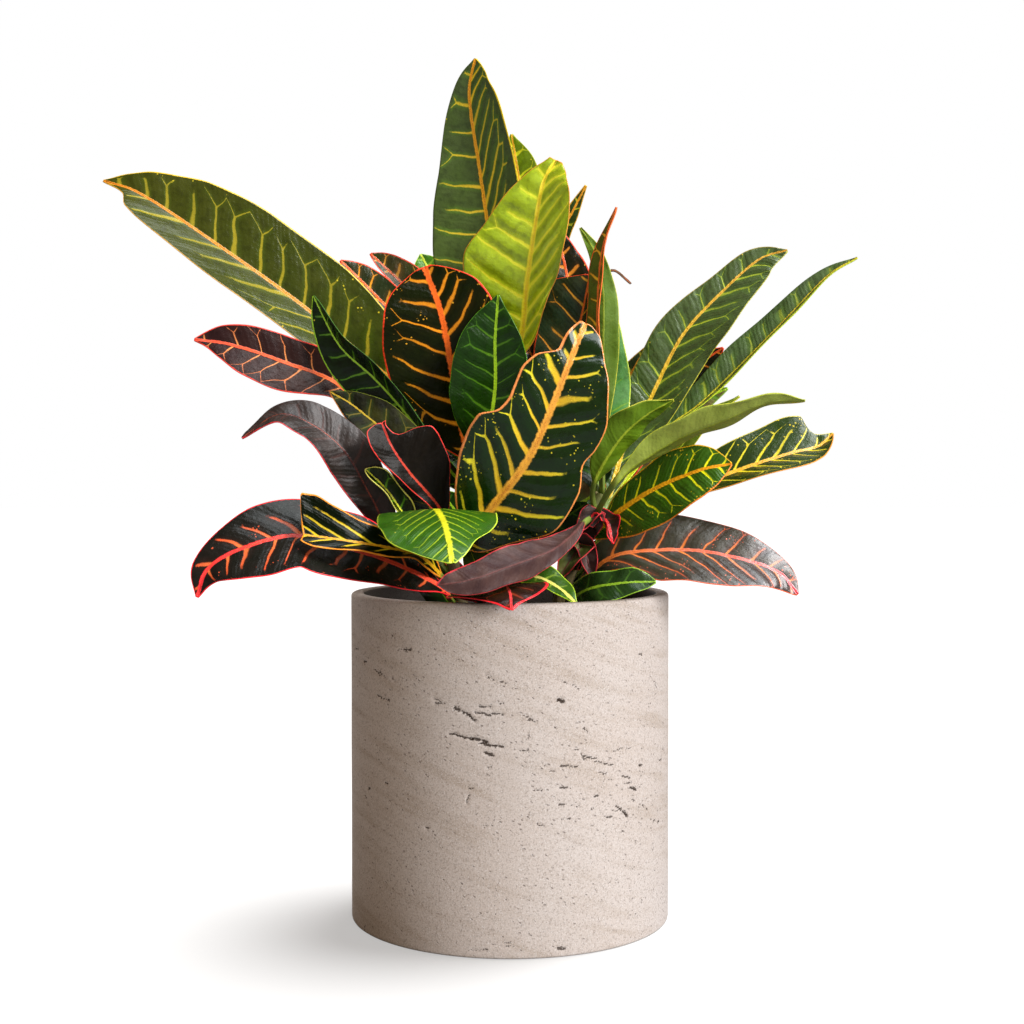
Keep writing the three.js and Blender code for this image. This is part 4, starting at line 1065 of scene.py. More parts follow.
LEAVES = [
    leaf("top_tall", "deep", "main", 0.94, [[-5, 22, 368], [-12, 26, 423], [-19, 25, 471], [-26, 19, 520],
         [-22, 14, 543]], [-0.3, -1, 0.1], fold=[12, 22], stalk=0.16, outline=[[6, 9, 6], [15, 22, 14],
         [25, 33, 22], [36, 38, 27], [50, 35, 29], [65, 26, 28], [80, 18, 25], [90, 10, 20], [96, 5, 13]]),
    leaf("top_behind", "sage", "main", 0.89, [[0, 52, 380], [7, 62, 430], [7, 64, 467], [1, 60, 505]],
         [0.1, -1, 0.1], fold=[10, 10], hidden=True, outline=[[10, 10, 10], [25, 19, 18], [45, 24, 22],
         [65, 22, 19], [80, 17, 16], [90, 11, 12]]),
    leaf("top_lime", "lime", "main", 1, [[6, 2, 360], [11, -4, 400], [16, -8, 434], [21, -8, 460],
         [29, -8, 474]], [[-0.3, -1, 0.1], [-0.4, -1, 0.1]], fold=[8, 20], tip_half=5, outline=[[6, 8, 5],
         [15, 18, 10], [25, 31, 14], [35, 40, 18], [48, 43, 24], [65, 33, 26], [80, 22, 24], [90, 12, 20],
         [96, 7, 14]]),
    leaf("small_dark", "deep", "main", 0.85, [[18, 44, 374], [30, 50, 429], [41, 48, 451], [50, 44, 468]],
         [0.2, -1, 0.1], fold=[10, 10], hidden=True, wide=20),
    leaf("red_margin", "ember", "main", 0.74, [[27, 28, 366], [37, 32, 399], [34, 34, 422], [30, 34, 440]],
         [0.1, -1, 0.1], fold=[8, 8], outline=[[20, 6, 9], [40, 15, 17], [55, 18, 18], [70, 17, 17],
         [82, 12, 13], [92, 6, 7]]),
    leaf("black_orange", "ember", "main", 0.7, [[24, 12, 319], [37, 15, 348], [45, 15, 375], [51, 10, 405]],
         [-0.3, -1, 0.1], fold=[6, 52], stalk=0.2, tip_half=3, outline=[[10, 8, 8], [25, 16, 14],
         [40, 21, 16], [55, 25, 16], [70, 27, 14], [82, 28, 10], [92, 25, 6]]),
    leaf("edge_on", "ember", "right", 1, [[55, -34, 290], [52, -40, 323], [53, -38, 359], [54, -36, 393],
         [57, -34, 417], [65, -30, 441]], [-0.7, -0.7, 0], fold=[0, 46], outline=[[10, 4, 4], [30, 8, 9],
         [50, 10, 12], [70, 9, 11], [85, 6, 8], [94, 3, 4]]),
    leaf("upright_olive", "olive", "right", 0.94, [[56, -15, 284], [57, -19, 312], [58, -18, 361],
         [58, -14, 392], [54, -11, 414], [44, -8, 432]], [0.25, 1, 0], fold=[10, 10], outline=[[15, 4, 5],
         [35, 8, 8], [50, 10, 10], [65, 9, 9], [80, 6, 6], [90, 4, 4]]),
    leaf("glossy_right", "green", "right", 0.91, [[54, -7, 276], [58, -7, 299], [61, -5, 331],
         [61, -4, 360], [63, -3, 385]], [-0.1, -1, 0.1], fold=[8, 8], outline=[[20, 7, 9], [40, 12, 15],
         [55, 13, 15], [70, 11, 13], [85, 7, 9], [94, 3, 5]]),
    leaf("round_ember", "ember", "main", 0.6, [[-28, -16, 299], [-36, -28, 344], [-42, -34, 376],
         [-52, -36, 404]], [[0, -1, 0.1], [0.05, -1, 0.1]], fold=[8, 8], stalk=0.2, tip_half=4,
         outline=[[6, 7, 5], [15, 16, 10], [25, 26, 16], [35, 33, 22], [50, 39, 29], [62, 40, 33],
         [74, 38, 33], [85, 34, 28], [93, 26, 18], [98, 12, 9]]),
    leaf("green_front", "green", "main", 0.66, [[-13, -30, 299], [-9, -38, 331], [-9, -42, 359],
         [-7, -44, 386]], [0, -1, 0.1], stalk=0.22, outline=[[8, 8, 7], [20, 16, 13], [32, 24, 18],
         [45, 28, 20], [60, 27, 20], [75, 22, 17], [87, 14, 10], [95, 6, 4]]),
    leaf("big_left", "sage", "main", 0.55, [[-47, 4, 317], [-79, 7, 341], [-128, -1, 382], [-178, -8, 418],
         [-229, -9, 452], [-255, -4, 462]], [[0.1, -1, 0.3], [0.1, -1, 0.25]], fold=[36, 8], stalk=0.1,
         outline=[[6, 8, 7], [15, 17, 16], [25, 24, 24], [37, 28, 32], [50, 29, 36], [65, 30, 36],
         [80, 25, 30], [87, 22, 22], [91.5, 17, 16], [94, 7, 11], [97, 3, 6]]),
    leaf("narrow_left", "green", "main", 0.5, [[-44, -32, 290], [-64, -38, 316], [-82, -42, 336],
         [-103, -43, 356], [-119, -40, 386]], [-0.3, -1, 0.2], fold=[4, 60], stalk=0.16,
         outline=[[10, 8, 4], [25, 15, 7], [40, 19, 11], [55, 20, 14], [70, 17, 15], [82, 12, 12],
         [93, 7, 7]]),
    leaf("maroon_left", "maroon", "left", 0.7, [[-52, -32, 254], [-78, -24, 300], [-104, -28, 332],
         [-137, -38, 346], [-168, -44, 356], [-190, -46, 359]], [0.1, -1, 0.2], fold=[10, 10], stalk=0.2,
         outline=[[8, 4, 4], [20, 5, 6], [35, 7, 9], [48, 9, 12], [60, 15, 16], [72, 19, 16], [82, 17, 15],
         [91, 10, 11], [97, 3, 5]]),
    leaf("olive_left", "olive", "left", 0.8, [[-50, -45, 262], [-66, -51, 294], [-91, -55, 317],
         [-107, -56, 327]], [0.3, -1, 0.3], fold=[8, 8], stalk=0.08, outline=[[10, 8, 8], [25, 12, 13],
         [45, 14, 17], [70, 14, 16], [88, 9, 9]]),
    leaf("arching_maroon", "maroon", "left", 0.62, [[-66, -54, 234], [-82, -62, 264], [-97, -68, 291],
         [-116, -70, 307], [-136, -70, 313], [-157, -72, 299]], [[-0.4, -1, 0.5], [-0.2, -0.6, 1]],
         fold=[14, 14], stalk=0.22, outline=[[10, 5, 6], [25, 10, 12], [40, 14, 15], [55, 16, 16],
         [70, 15, 14], [82, 12, 9], [91, 7, 5], [97, 3, 3]]),
    leaf("notched_maroon", "maroon", "left", 1, [[-42, -60, 258], [-59, -70, 279], [-69, -74, 294],
         [-75, -74, 308]], [0.3, -1, 0.2], fold=[16, 10], stalk=0.16, tip_half=3, sweep=0.2,
         outline=[[8, 3, 6], [20, 5, 14], [32, 6, 23], [50, 8, 28], [65, 10, 27], [76, 12, 20], [84, 13, 7],
         [92, 12, 3], [97, 8, 2]]),
    leaf("small_curled", "green", "left", 0.7, [[-52, -54, 236], [-63, -61, 254], [-73, -67, 269],
         [-85, -70, 281]], [0.6, -0.8, 0.3], fold=[30, 30], curl=[40, 40], stalk=0.2, outline=[[30, 6, 6],
         [60, 10, 9], [85, 11, 9], [95, 8, 6]]),
    leaf("folded_gold", "gold", "left", 0.55, [[-50, -73, 228], [-67, -92, 235], [-90, -106, 240],
         [-116, -112, 244]], [0, -1, 0.5], fold=[30, 14], stalk=0.2, tip_half=5, sweep=0.3,
         outline=[[10, 4, 5], [30, 6, 8], [50, 8, 11], [65, 8, 14], [80, 9, 19], [90, 9, 24], [97, 7, 24]]),
    leaf("low_left", "crimson", "left", 0.42, [[-41, -60, 211], [-73, -78, 228], [-103, -94, 238],
         [-124, -102, 243], [-151, -110, 236], [-169, -114, 225], [-175, -116, 209]], [[0, -1, 0.9],
         [0, -1, 0.8]], fold=[10, 10], stalk=0.1, outline=[[6, 4, 3], [15, 12, 8], [27, 21, 18],
         [40, 25, 24], [55, 27, 25], [70, 28, 23], [82, 22, 17], [91, 13, 10], [97, 4, 4]]),
    leaf("lime_front", "lime", "left", 0.88, [[-43, -84, 257], [-37, -116, 252], [-33, -136, 241],
         [-31, -148, 230]], [0, -0.3, 1], fold=[-6, -6], stalk=0.2, tip_half=2, outline=[[6, 8, 8],
         [15, 21, 19], [27, 31, 31], [40, 34, 35], [55, 32, 36], [70, 25, 34], [82, 15, 27], [92, 9, 17]]),
    leaf("dusky_front", "dusk", "right", 0.8, [[46, -50, 249], [28, -89, 236], [13, -103, 230],
         [-3, -113, 225], [-15, -121, 221], [-28, -126, 218], [-40, -130, 217]], [0.1, 0.9, -0.5],
         fold=[8, 50], stalk=0.22, outline=[[10, 6, 4], [25, 10, 6], [40, 14, 9], [55, 14, 11],
         [70, 13, 11], [85, 10, 9], [94, 7, 6]]),
    leaf("over_rim", "crimson", "left", 0.34, [[-12, -62, 207], [-4, -88, 214], [0, -104, 211],
         [1, -117, 202]], [0, -0.4, 1], fold=[-4, -4], stalk=0.2, wave=0.6, outline=[[15, 8, 9],
         [30, 17, 20], [50, 24, 33], [68, 25, 35], [82, 16, 24], [92, 6, 9]]),
    leaf("rim_green", "leafgreen", "main", 0.14, [[-4, -22, 206], [5, -42, 216], [18, -56, 216],
         [30, -66, 210], [39, -75, 202]], [0.3, -0.8, 0.7], fold=[10, 10], stalk=0.34, outline=[[15, 6, 5],
         [35, 10, 8], [55, 11, 9], [80, 8, 6]]),
    leaf("rim_dark", "green", "right", 0.27, [[44, -46, 207], [66, -58, 213], [87, -60, 214]], [0, -1, 0.5],
         fold=[10, 10], outline=[[15, 6, 6], [35, 9, 11], [60, 9, 12], [80, 9, 8], [92, 6, 5]]),
    leaf("low_right", "crimson", "right", 0.41, [[48, -28, 216], [67, -35, 229], [108, -43, 232],
         [139, -52, 227], [161, -55, 219], [172, -56, 206]], [0, -1, 0.8], fold=[10, 10], stalk=0.1,
         outline=[[6, 7, 6], [15, 14, 10], [27, 21, 17], [40, 24, 26], [55, 22, 27], [70, 18, 24],
         [82, 13, 18], [91, 8, 12], [97, 4, 5]]),
    leaf("mid_right", "gold", "right", 0.63, [[57, -31, 247], [83, -50, 267], [111, -68, 280],
         [130, -74, 284]], [-0.1, -1, 0.5], fold=[10, 10], stalk=0.12, outline=[[6, 3, 7], [15, 5, 13],
         [25, 9, 19], [38, 13, 24], [52, 16, 26], [67, 18, 25], [80, 17, 20], [90, 12, 14], [96, 6, 7]]),
    leaf("far_right", "gold", "right", 0.57, [[86, -23, 258], [116, -32, 271], [147, -34, 283],
         [173, -32, 291], [189, -29, 295], [199, -26, 303]], [-0.1, -1, 0.4], fold=[10, 48], stalk=0.2,
         outline=[[10, 5, 5], [25, 9, 9], [40, 14, 13], [55, 18, 18], [70, 21, 22], [80, 23, 23],
         [88, 21, 17], [93, 9, 10], [97, 4, 5]]),
    leaf("long_olive", "olive", "right", 0.84, [[60, -57, 270], [69, -62, 280], [97, -66, 298],
         [126, -72, 310], [151, -74, 320], [173, -72, 321]], [0, 0.6, 1], fold=[14, 26], stalk=0.26,
         outline=[[8, 4, 5], [20, 7, 10], [35, 9, 13], [50, 10, 13], [65, 9, 10], [80, 6, 7], [92, 3, 4]]),
    leaf("short_olive", "olive", "right", 0.9, [[50, -44, 268], [54, -53, 281], [67, -59, 301],
         [82, -62, 314], [97, -62, 322]], [0.2, 0.7, 0.8], fold=[16, 16], stalk=0.3, outline=[[15, 6, 8],
         [35, 9, 12], [55, 10, 13], [75, 8, 9], [90, 5, 4]]),
    leaf("broad_right", "deep", "right", 0.73, [[61, -13, 262], [73, 3, 297], [88, 8, 323], [109, 8, 365],
         [135, 6, 394], [158, 4, 414], [175, 0, 419]], [[-0.1, -1, 0.3], [-0.3, -1, 0.4]],
         outline=[[6, 6, 6], [15, 11, 12], [25, 15, 17], [38, 18, 21], [52, 18, 24], [66, 15, 25],
         [78, 12, 20], [88, 10, 16], [95, 5, 10]]),
    leaf("narrow_right", "deep", "right", 0.67, [[90, 16, 297], [123, 19, 324], [150, 19, 350],
         [179, 15, 380], [202, 10, 404], [220, 4, 415]], [[-0.3, -1, 0.5], [-0.3, -1, 0.6]], fold=[14, 56],
         stalk=0.2, outline=[[10, 5, 4], [25, 9, 7], [40, 13, 9], [55, 14, 10], [70, 12, 9], [82, 9, 7],
         [92, 5, 4]]),
    leaf("ember_right", "ember", "right", 0.6, [[84, 31, 297], [105, 39, 332], [124, 41, 350],
         [140, 39, 361]], [-0.2, -1, 0.3], hidden=True, outline=[[30, 8, 8], [50, 10, 11], [70, 9, 12],
         [85, 7, 11], [94, 5, 7]]),
    leaf("dull_right", "green", "main", 0.44, [[40, 30, 256], [88, 44, 287], [119, 49, 321],
         [144, 47, 335]], [-0.2, -1, 0.3], hidden=True, wide=36),
    leaf("hidden_right", "deep", "main", 0.54, [[24, 30, 284], [62, 36, 318], [90, 40, 362]],
         [-0.2, -1, 0.3], hidden=True, wide=26),
    leaf("olive_tip", "olive", "right", 0.46, [[92, 4, 274], [122, 12, 311], [147, 14, 328]], [0, -0.6, 1],
         hidden=True, wide=20),
    leaf("withered_tip", "withered", "main", 0.72, [[28, 50, 350], [52, 56, 396], [67, 52, 413],
         [80, 48, 404]], [0, -0.6, 1], fold=[30, 30], hidden=True, wide=7, wave=0),
    leaf("ember_left", "ember", "main", 0.6, [[-56, 30, 358], [-85, 40, 392], [-111, 38, 418]],
         [0.2, -1, 0.3], hidden=True, outline=[[20, 8, 8], [40, 13, 13], [60, 14, 15], [80, 10, 14],
         [90, 7, 11], [96, 4, 6]]),
    leaf("ember_middle", "ember", "main", 0.68, [[-46, 52, 374], [-68, 55, 401], [-93, 56, 425]],
         [0.2, -1, 0.3], hidden=True, outline=[[20, 7, 8], [40, 10, 13], [60, 9, 16], [80, 6, 16],
         [90, 5, 12], [96, 3, 7]]),
    leaf("green_middle", "leafgreen", "main", 0.83, [[-16, 50, 346], [-36, 72, 378], [-48, 78, 403],
         [-61, 80, 428]], [0.1, -1, 0.3], hidden=True, outline=[[20, 9, 9], [45, 15, 15], [65, 16, 15],
         [80, 15, 13], [90, 12, 11], [96, 8, 7]]),
    leaf("drooped", "dusk", "right", 0.5, [[44, -38, 233], [38, -44, 228], [29, -46, 214]], [-0.2, -1, 0.3],
         fold=[34, 34], curl=[30, 30], hidden=True, wide=22),
    leaf("front_gold", "gold", "left", 0.95, [[-23, -66, 242], [-10, -75, 259], [12, -85, 289],
         [30, -89, 331], [39, -86, 354], [44, -82, 365]], [0, -1, 0.1], fold=[6, 6], stalk=0.08, wave=0.8,
         tip_half=4, outline=[[5, 8, 10], [12, 16, 18], [22, 27, 30], [33, 36, 38], [44, 39, 36],
         [52, 38, 30], [58, 28, 33], [65, 25, 34], [74, 25, 30], [82, 20, 25], [87, 9, 20], [93, 8, 15],
         [97, 6, 11]]),
    leaf("shaded_front", "deep", "main", 0.28, [[-2, -12, 213], [-3, -30, 226], [4, -46, 256]],
         [-0.1, -1, 0.3], fold=[8, 8], stalk=0.3, wide=54),
    leaf("shaded_left", "green", "main", 0.38, [[-21, -10, 238], [-43, -26, 268]], [0.1, -1, 0.3],
         fold=[8, 8], wide=30),
    leaf("back_high_left", "deep", "main", 0.77, [[-26, 60, 322], [-38, 104, 362], [-48, 138, 388]],
         [0.1, -0.7, 0.7], hidden=True, wide=50),
    leaf("back_high_right", "gold", "main", 0.65, [[22, 62, 340], [32, 92, 378], [44, 114, 398]],
         [-0.1, -0.7, 0.7], hidden=True, wide=46),
    leaf("back_middle", "ember", "main", 0.58, [[-12, 70, 312], [-8, 130, 346], [-8, 184, 346]],
         [0, -0.6, 0.8], hidden=True, wide=56),
    leaf("back_left", "sage", "back", 1, [[-30, 92, 290], [-70, 122, 308], [-106, 142, 312]],
         [0.2, -0.4, 1], hidden=True, wide=48),
    leaf("back_right", "deep", "back", 0.9, [[40, 92, 290], [86, 122, 320], [122, 140, 338]],
         [-0.2, -0.4, 1], hidden=True, wide=50),
    leaf("back_low", "crimson", "back", 0.74, [[6, 104, 262], [8, 152, 278], [12, 200, 272]], [0, -0.5, 1],
         fold=[10, 10], hidden=True, wide=56),
    leaf("back_low_left", "maroon", "back", 0.6, [[-32, 94, 234], [-76, 124, 240], [-116, 144, 224]],
         [0, 0, 1], fold=[10, 10], hidden=True, wide=50),
    leaf("back_low_right", "gold", "back", 0.54, [[42, 90, 232], [84, 116, 238], [122, 134, 226]],
         [0, 0, 1], fold=[10, 10], hidden=True, wide=50),
    leaf("side_low_left", "crimson", "main", 0.24, [[-58, 36, 226], [-104, 54, 236], [-146, 64, 220]],
         [0, -0.1, 1], fold=[10, 10], hidden=True, wide=46),
    leaf("side_low_right", "maroon", "right", 0.35, [[82, 14, 224], [122, 34, 232], [160, 50, 216]],
         [0, -0.1, 1], fold=[10, 10], hidden=True, wide=44),
]
# per cent of the blade, and share of the greatest half width
USUAL_OUTLINE = [[8, 0.42], [20, 0.78], [35, 0.97], [50, 1], [65, 0.9], [80, 0.66], [90, 0.4]]
print(len(LEAVES), "leaves")

# %% [markdown]
# A blade's half width is given at a few places and flows smoothly between them, never past them, so
# that a notch stays a notch. The same cubic pieces do this that draw smooth lines through points,
# with the slope set to nothing wherever the width turns round.

# %% Half widths along a blade
STALK_HALF = 1.6


def flow(keys, x):
    """Smooth values through [place, value] keys that never overshoot them."""
    places, values = np.array(keys, float).T
    spans = np.diff(places)
    slopes = np.diff(values) / spans
    before, after = slopes[:-1], slopes[1:]
    same_way = before * after > 0
    both = np.where(same_way, before + after, 1)
    tangents = np.concatenate([slopes[:1], np.where(same_way, 2 * before * after / both, 0), slopes[-1:]])
    x = np.clip(x, places[0], places[-1])
    i = np.clip(np.searchsorted(places, x, side="right") - 1, 0, len(spans) - 1)
    s = (x - places[i]) / spans[i]
    return ((2 * s ** 3 - 3 * s ** 2 + 1) * values[i] + (s ** 3 - 2 * s ** 2 + s) * spans[i] * tangents[i]
            + (3 * s ** 2 - 2 * s ** 3) * values[i + 1] + (s ** 3 - s ** 2) * spans[i] * tangents[i + 1])


def half_widths(row):
    half = row.get("wide", 0) / 2
    keys = row.get("outline") or [[t, share * half, share * half] for t, share in USUAL_OUTLINE]
    return [[[0, STALK_HALF], *[[key[0] / 100, key[side]] for key in keys], [1, row["tip_half"]]]
            for side in (1, 2)]


print("half widths of a plain leaf 40 wide:",
      flow(half_widths({**USUAL_LEAF, "wide": 40})[0], np.linspace(0, 1, 6)).round(1))

# %% [markdown]
# ## Veins
#
# A croton's side veins leave the midrib at a steady angle, bend towards the tip and fork before they
# reach the edge. Between them the blade bulges a little, which makes the leathery, quilted look. Two
# things must agree here: the bulges of the mesh and the colours of the finish. So the count of veins
# at any spot is one formula, written so that it takes arrays of numbers for the mesh and sockets for
# the finish. It counts up by one from vein to vein, and a vein runs wherever it passes a half.

# %% Where veins run
VEIN_BOW = 0.0035
VEIN_WAVES = ((2.3, 0.08), (5.1, 0.03))  # they aren't quite even: how often, and by how much
VEIN_SIDE_SHIFT = 0.43
VEIN_LEAF_SHIFT = 0.31


def vein_count(along, off, lean, spacing, shift, sine):
    """Veins passed up to a spot. lean: how far a vein moves on for each mm that it goes out."""
    even = (along - off * lean - off * off * VEIN_BOW) / spacing + shift
    count = even
    for often, much in VEIN_WAVES:
        count = count + sine(even * often) * much
    return count


def leans(look):
    return [1 / math.tan(math.radians(angle)) for angle in look["angle"]]


def gaps(look):
    """Millimetres between neighbouring veins, measured across them, in each half."""
    return [step * math.sin(math.radians(angle)) for step, angle in zip(look["spacing"], look["angle"])]


print("veins 30 mm up a plain blade:",
      vein_count(np.array([30.0]), np.array([0.0]), 0.5, 11, 0, np.sin).round(2))

# %% [markdown]
# ## What each leaf looks like
#
# One plant carries leaves of many colours, because they change as they age: green with yellow veins
# when young, then orange, red and nearly black. A look is a set of colours and sizes. Every look
# starts from the plain one, and a leaf that stands out in the photograph adds its own values.
#
# Ground and rib go from the base to the tip, and the veins' colour from the midrib to the edge. The
# other pairs are for the left and the right half, seen with the leaf's tip pointing up, and a single
# value is for both. Cloudy, glow and flecked say how strongly the clouds, the halo round the veins and
# the flecks show. Lengths are in millimetres and angles in degrees.

# %% Looks
PLAIN_LOOK = dict(
    ground=("18300c", "182c0c"), cloud="2c440c", cloudy=0.35, under="4c5c20", rib=("f4bc28", "ecac30"),
    rib_half=(1.6, 0.6), feather=0.5, core="b84c18", vein=("dccc28", "b8c028"), vein_half=0.6,
    strength=0.85, thin_out=0.35, angle=60, spacing=14, fork=0.66, reach=0.9, halo="3c5c10", glow=0.35,
    flecks="dcc828", flecked=0.06, margin="e8b028", margin_width=0.5, stalk="7c9838", rough=0.26,
    gloss=0.32, quilt=1.0, pucker=0.6,
)
LOOKS = {
    "deep": dict(ground=("2c4010", "2c3c18"), rib=("f4b420", "eca428")),
    "gold": dict(
        ground=("0c1c08", "0c1c0c"), cloud="1c2c0c", cloudy=0.3, rib=("fcc828", "f8b830"),
        rib_half=(2.0, 0.8), vein=("fcdc20", "e8cc20"), vein_half=0.85, strength=1.0, halo="20380c",
        glow=0.3, margin="fca050", margin_width=(1.0, 0.8),
    ),
    "ember": dict(
        ground=("141804", "101404"), cloud="2c1c08", cloudy=0.3, under="4c2c1c", rib=("fc7828", "f4602c"),
        vein=("fc9c28", "e88828"), strength=0.9, halo="3c2408", glow=0.3, flecks="f4c030", flecked=0.1,
        margin="fc4c24", margin_width=0.8,
    ),
    "sage": dict(
        ground=("343c08", "40480c"), cloud="4c5410", rib=("f4b020", "e8a030"), vein=("dcc820", "ccbc28"),
        halo="4c5c10", glow=0.4,
    ),
    "lime": dict(
        ground=("849410", "8c9c14"), cloud="a4b01c", cloudy=0.5, under="84942c", rib=("fcd828", "f4cc28"),
        rib_half=(2.0, 0.9), core="e8b020", vein=("f4e030", "e0d830"), halo="bcc420", glow=0.6,
        margin="e89830",
    ),
    "green": dict(
        ground=("103008", "103808"), cloud="1c4c0c", under="34601c", rib=("b8dc20", "a0cc24"),
        rib_half=(1.1, 0.5), core="5c8c1c", vein=("7cb424", "5ca01c"), vein_half=0.45, strength=0.5,
        halo="1c4c0c", glow=0.3, margin="8cb830",
    ),
    "leafgreen": dict(
        ground=("306410", "3c7014"), cloud="488018", cloudy=0.4, under="4c7c24", rib=("e0ec50", "ccdc48"),
        core="a8c034", vein=("a8cc38", "8cbc2c"), strength=0.5, halo="488818", glow=0.3, margin="b0d030",
    ),
    "maroon": dict(
        ground=("2c1410", "2c1010"), cloud="3c1c18", under="44241c", rib=("fc6c30", "e84434"),
        vein=("f06434", "d84c30"), strength=0.8, halo="481c14", glow=0.3, flecks="e06840", flecked=0.05,
        margin="ec4030", margin_width=0.7,
    ),
    "crimson": dict(
        ground=("180c08", "1c0c0c"), cloud="2c1410", cloudy=0.3, under="502420", rib=("fc3830", "f43440"),
        vein=("f8502c", "e83c30"), halo="38140c", glow=0.3, flecks="f05c3c", margin="fc2c34",
        margin_width=0.9,
    ),
    "olive": dict(
        ground=("4c6408", "586c10"), cloud="6c7c1c", cloudy=0.4, under="546810", rib=("a4b428", "98a828"),
        rib_half=(0.9, 0.4), core="7c8c20", vein=("8ca024", "84982c"), vein_half=0.4, strength=0.35,
        margin="c4c038", margin_width=0.3, rough=0.42,
    ),
    "dusk": dict(
        ground=("38241c", "44302c"), cloud="544038", cloudy=0.5, under="4c302c", rib="5c2c28",
        rib_half=(0.7, 0.4), core="4c2420", vein="6c3c38", strength=0.2, halo="4c302c", glow=0.3,
        margin="c83038", margin_width=(0.8, 0.6), rough=0.45,
    ),
    "withered": dict(
        ground=("4c3018", "402818"), cloud="6c4828", cloudy=0.6, under="5c4028", rib=("7c5830", "6c4828"),
        vein=("745430", "644428"), strength=0.4, margin="5c3c20", rough=0.7, pucker=0.8,
    ),
}
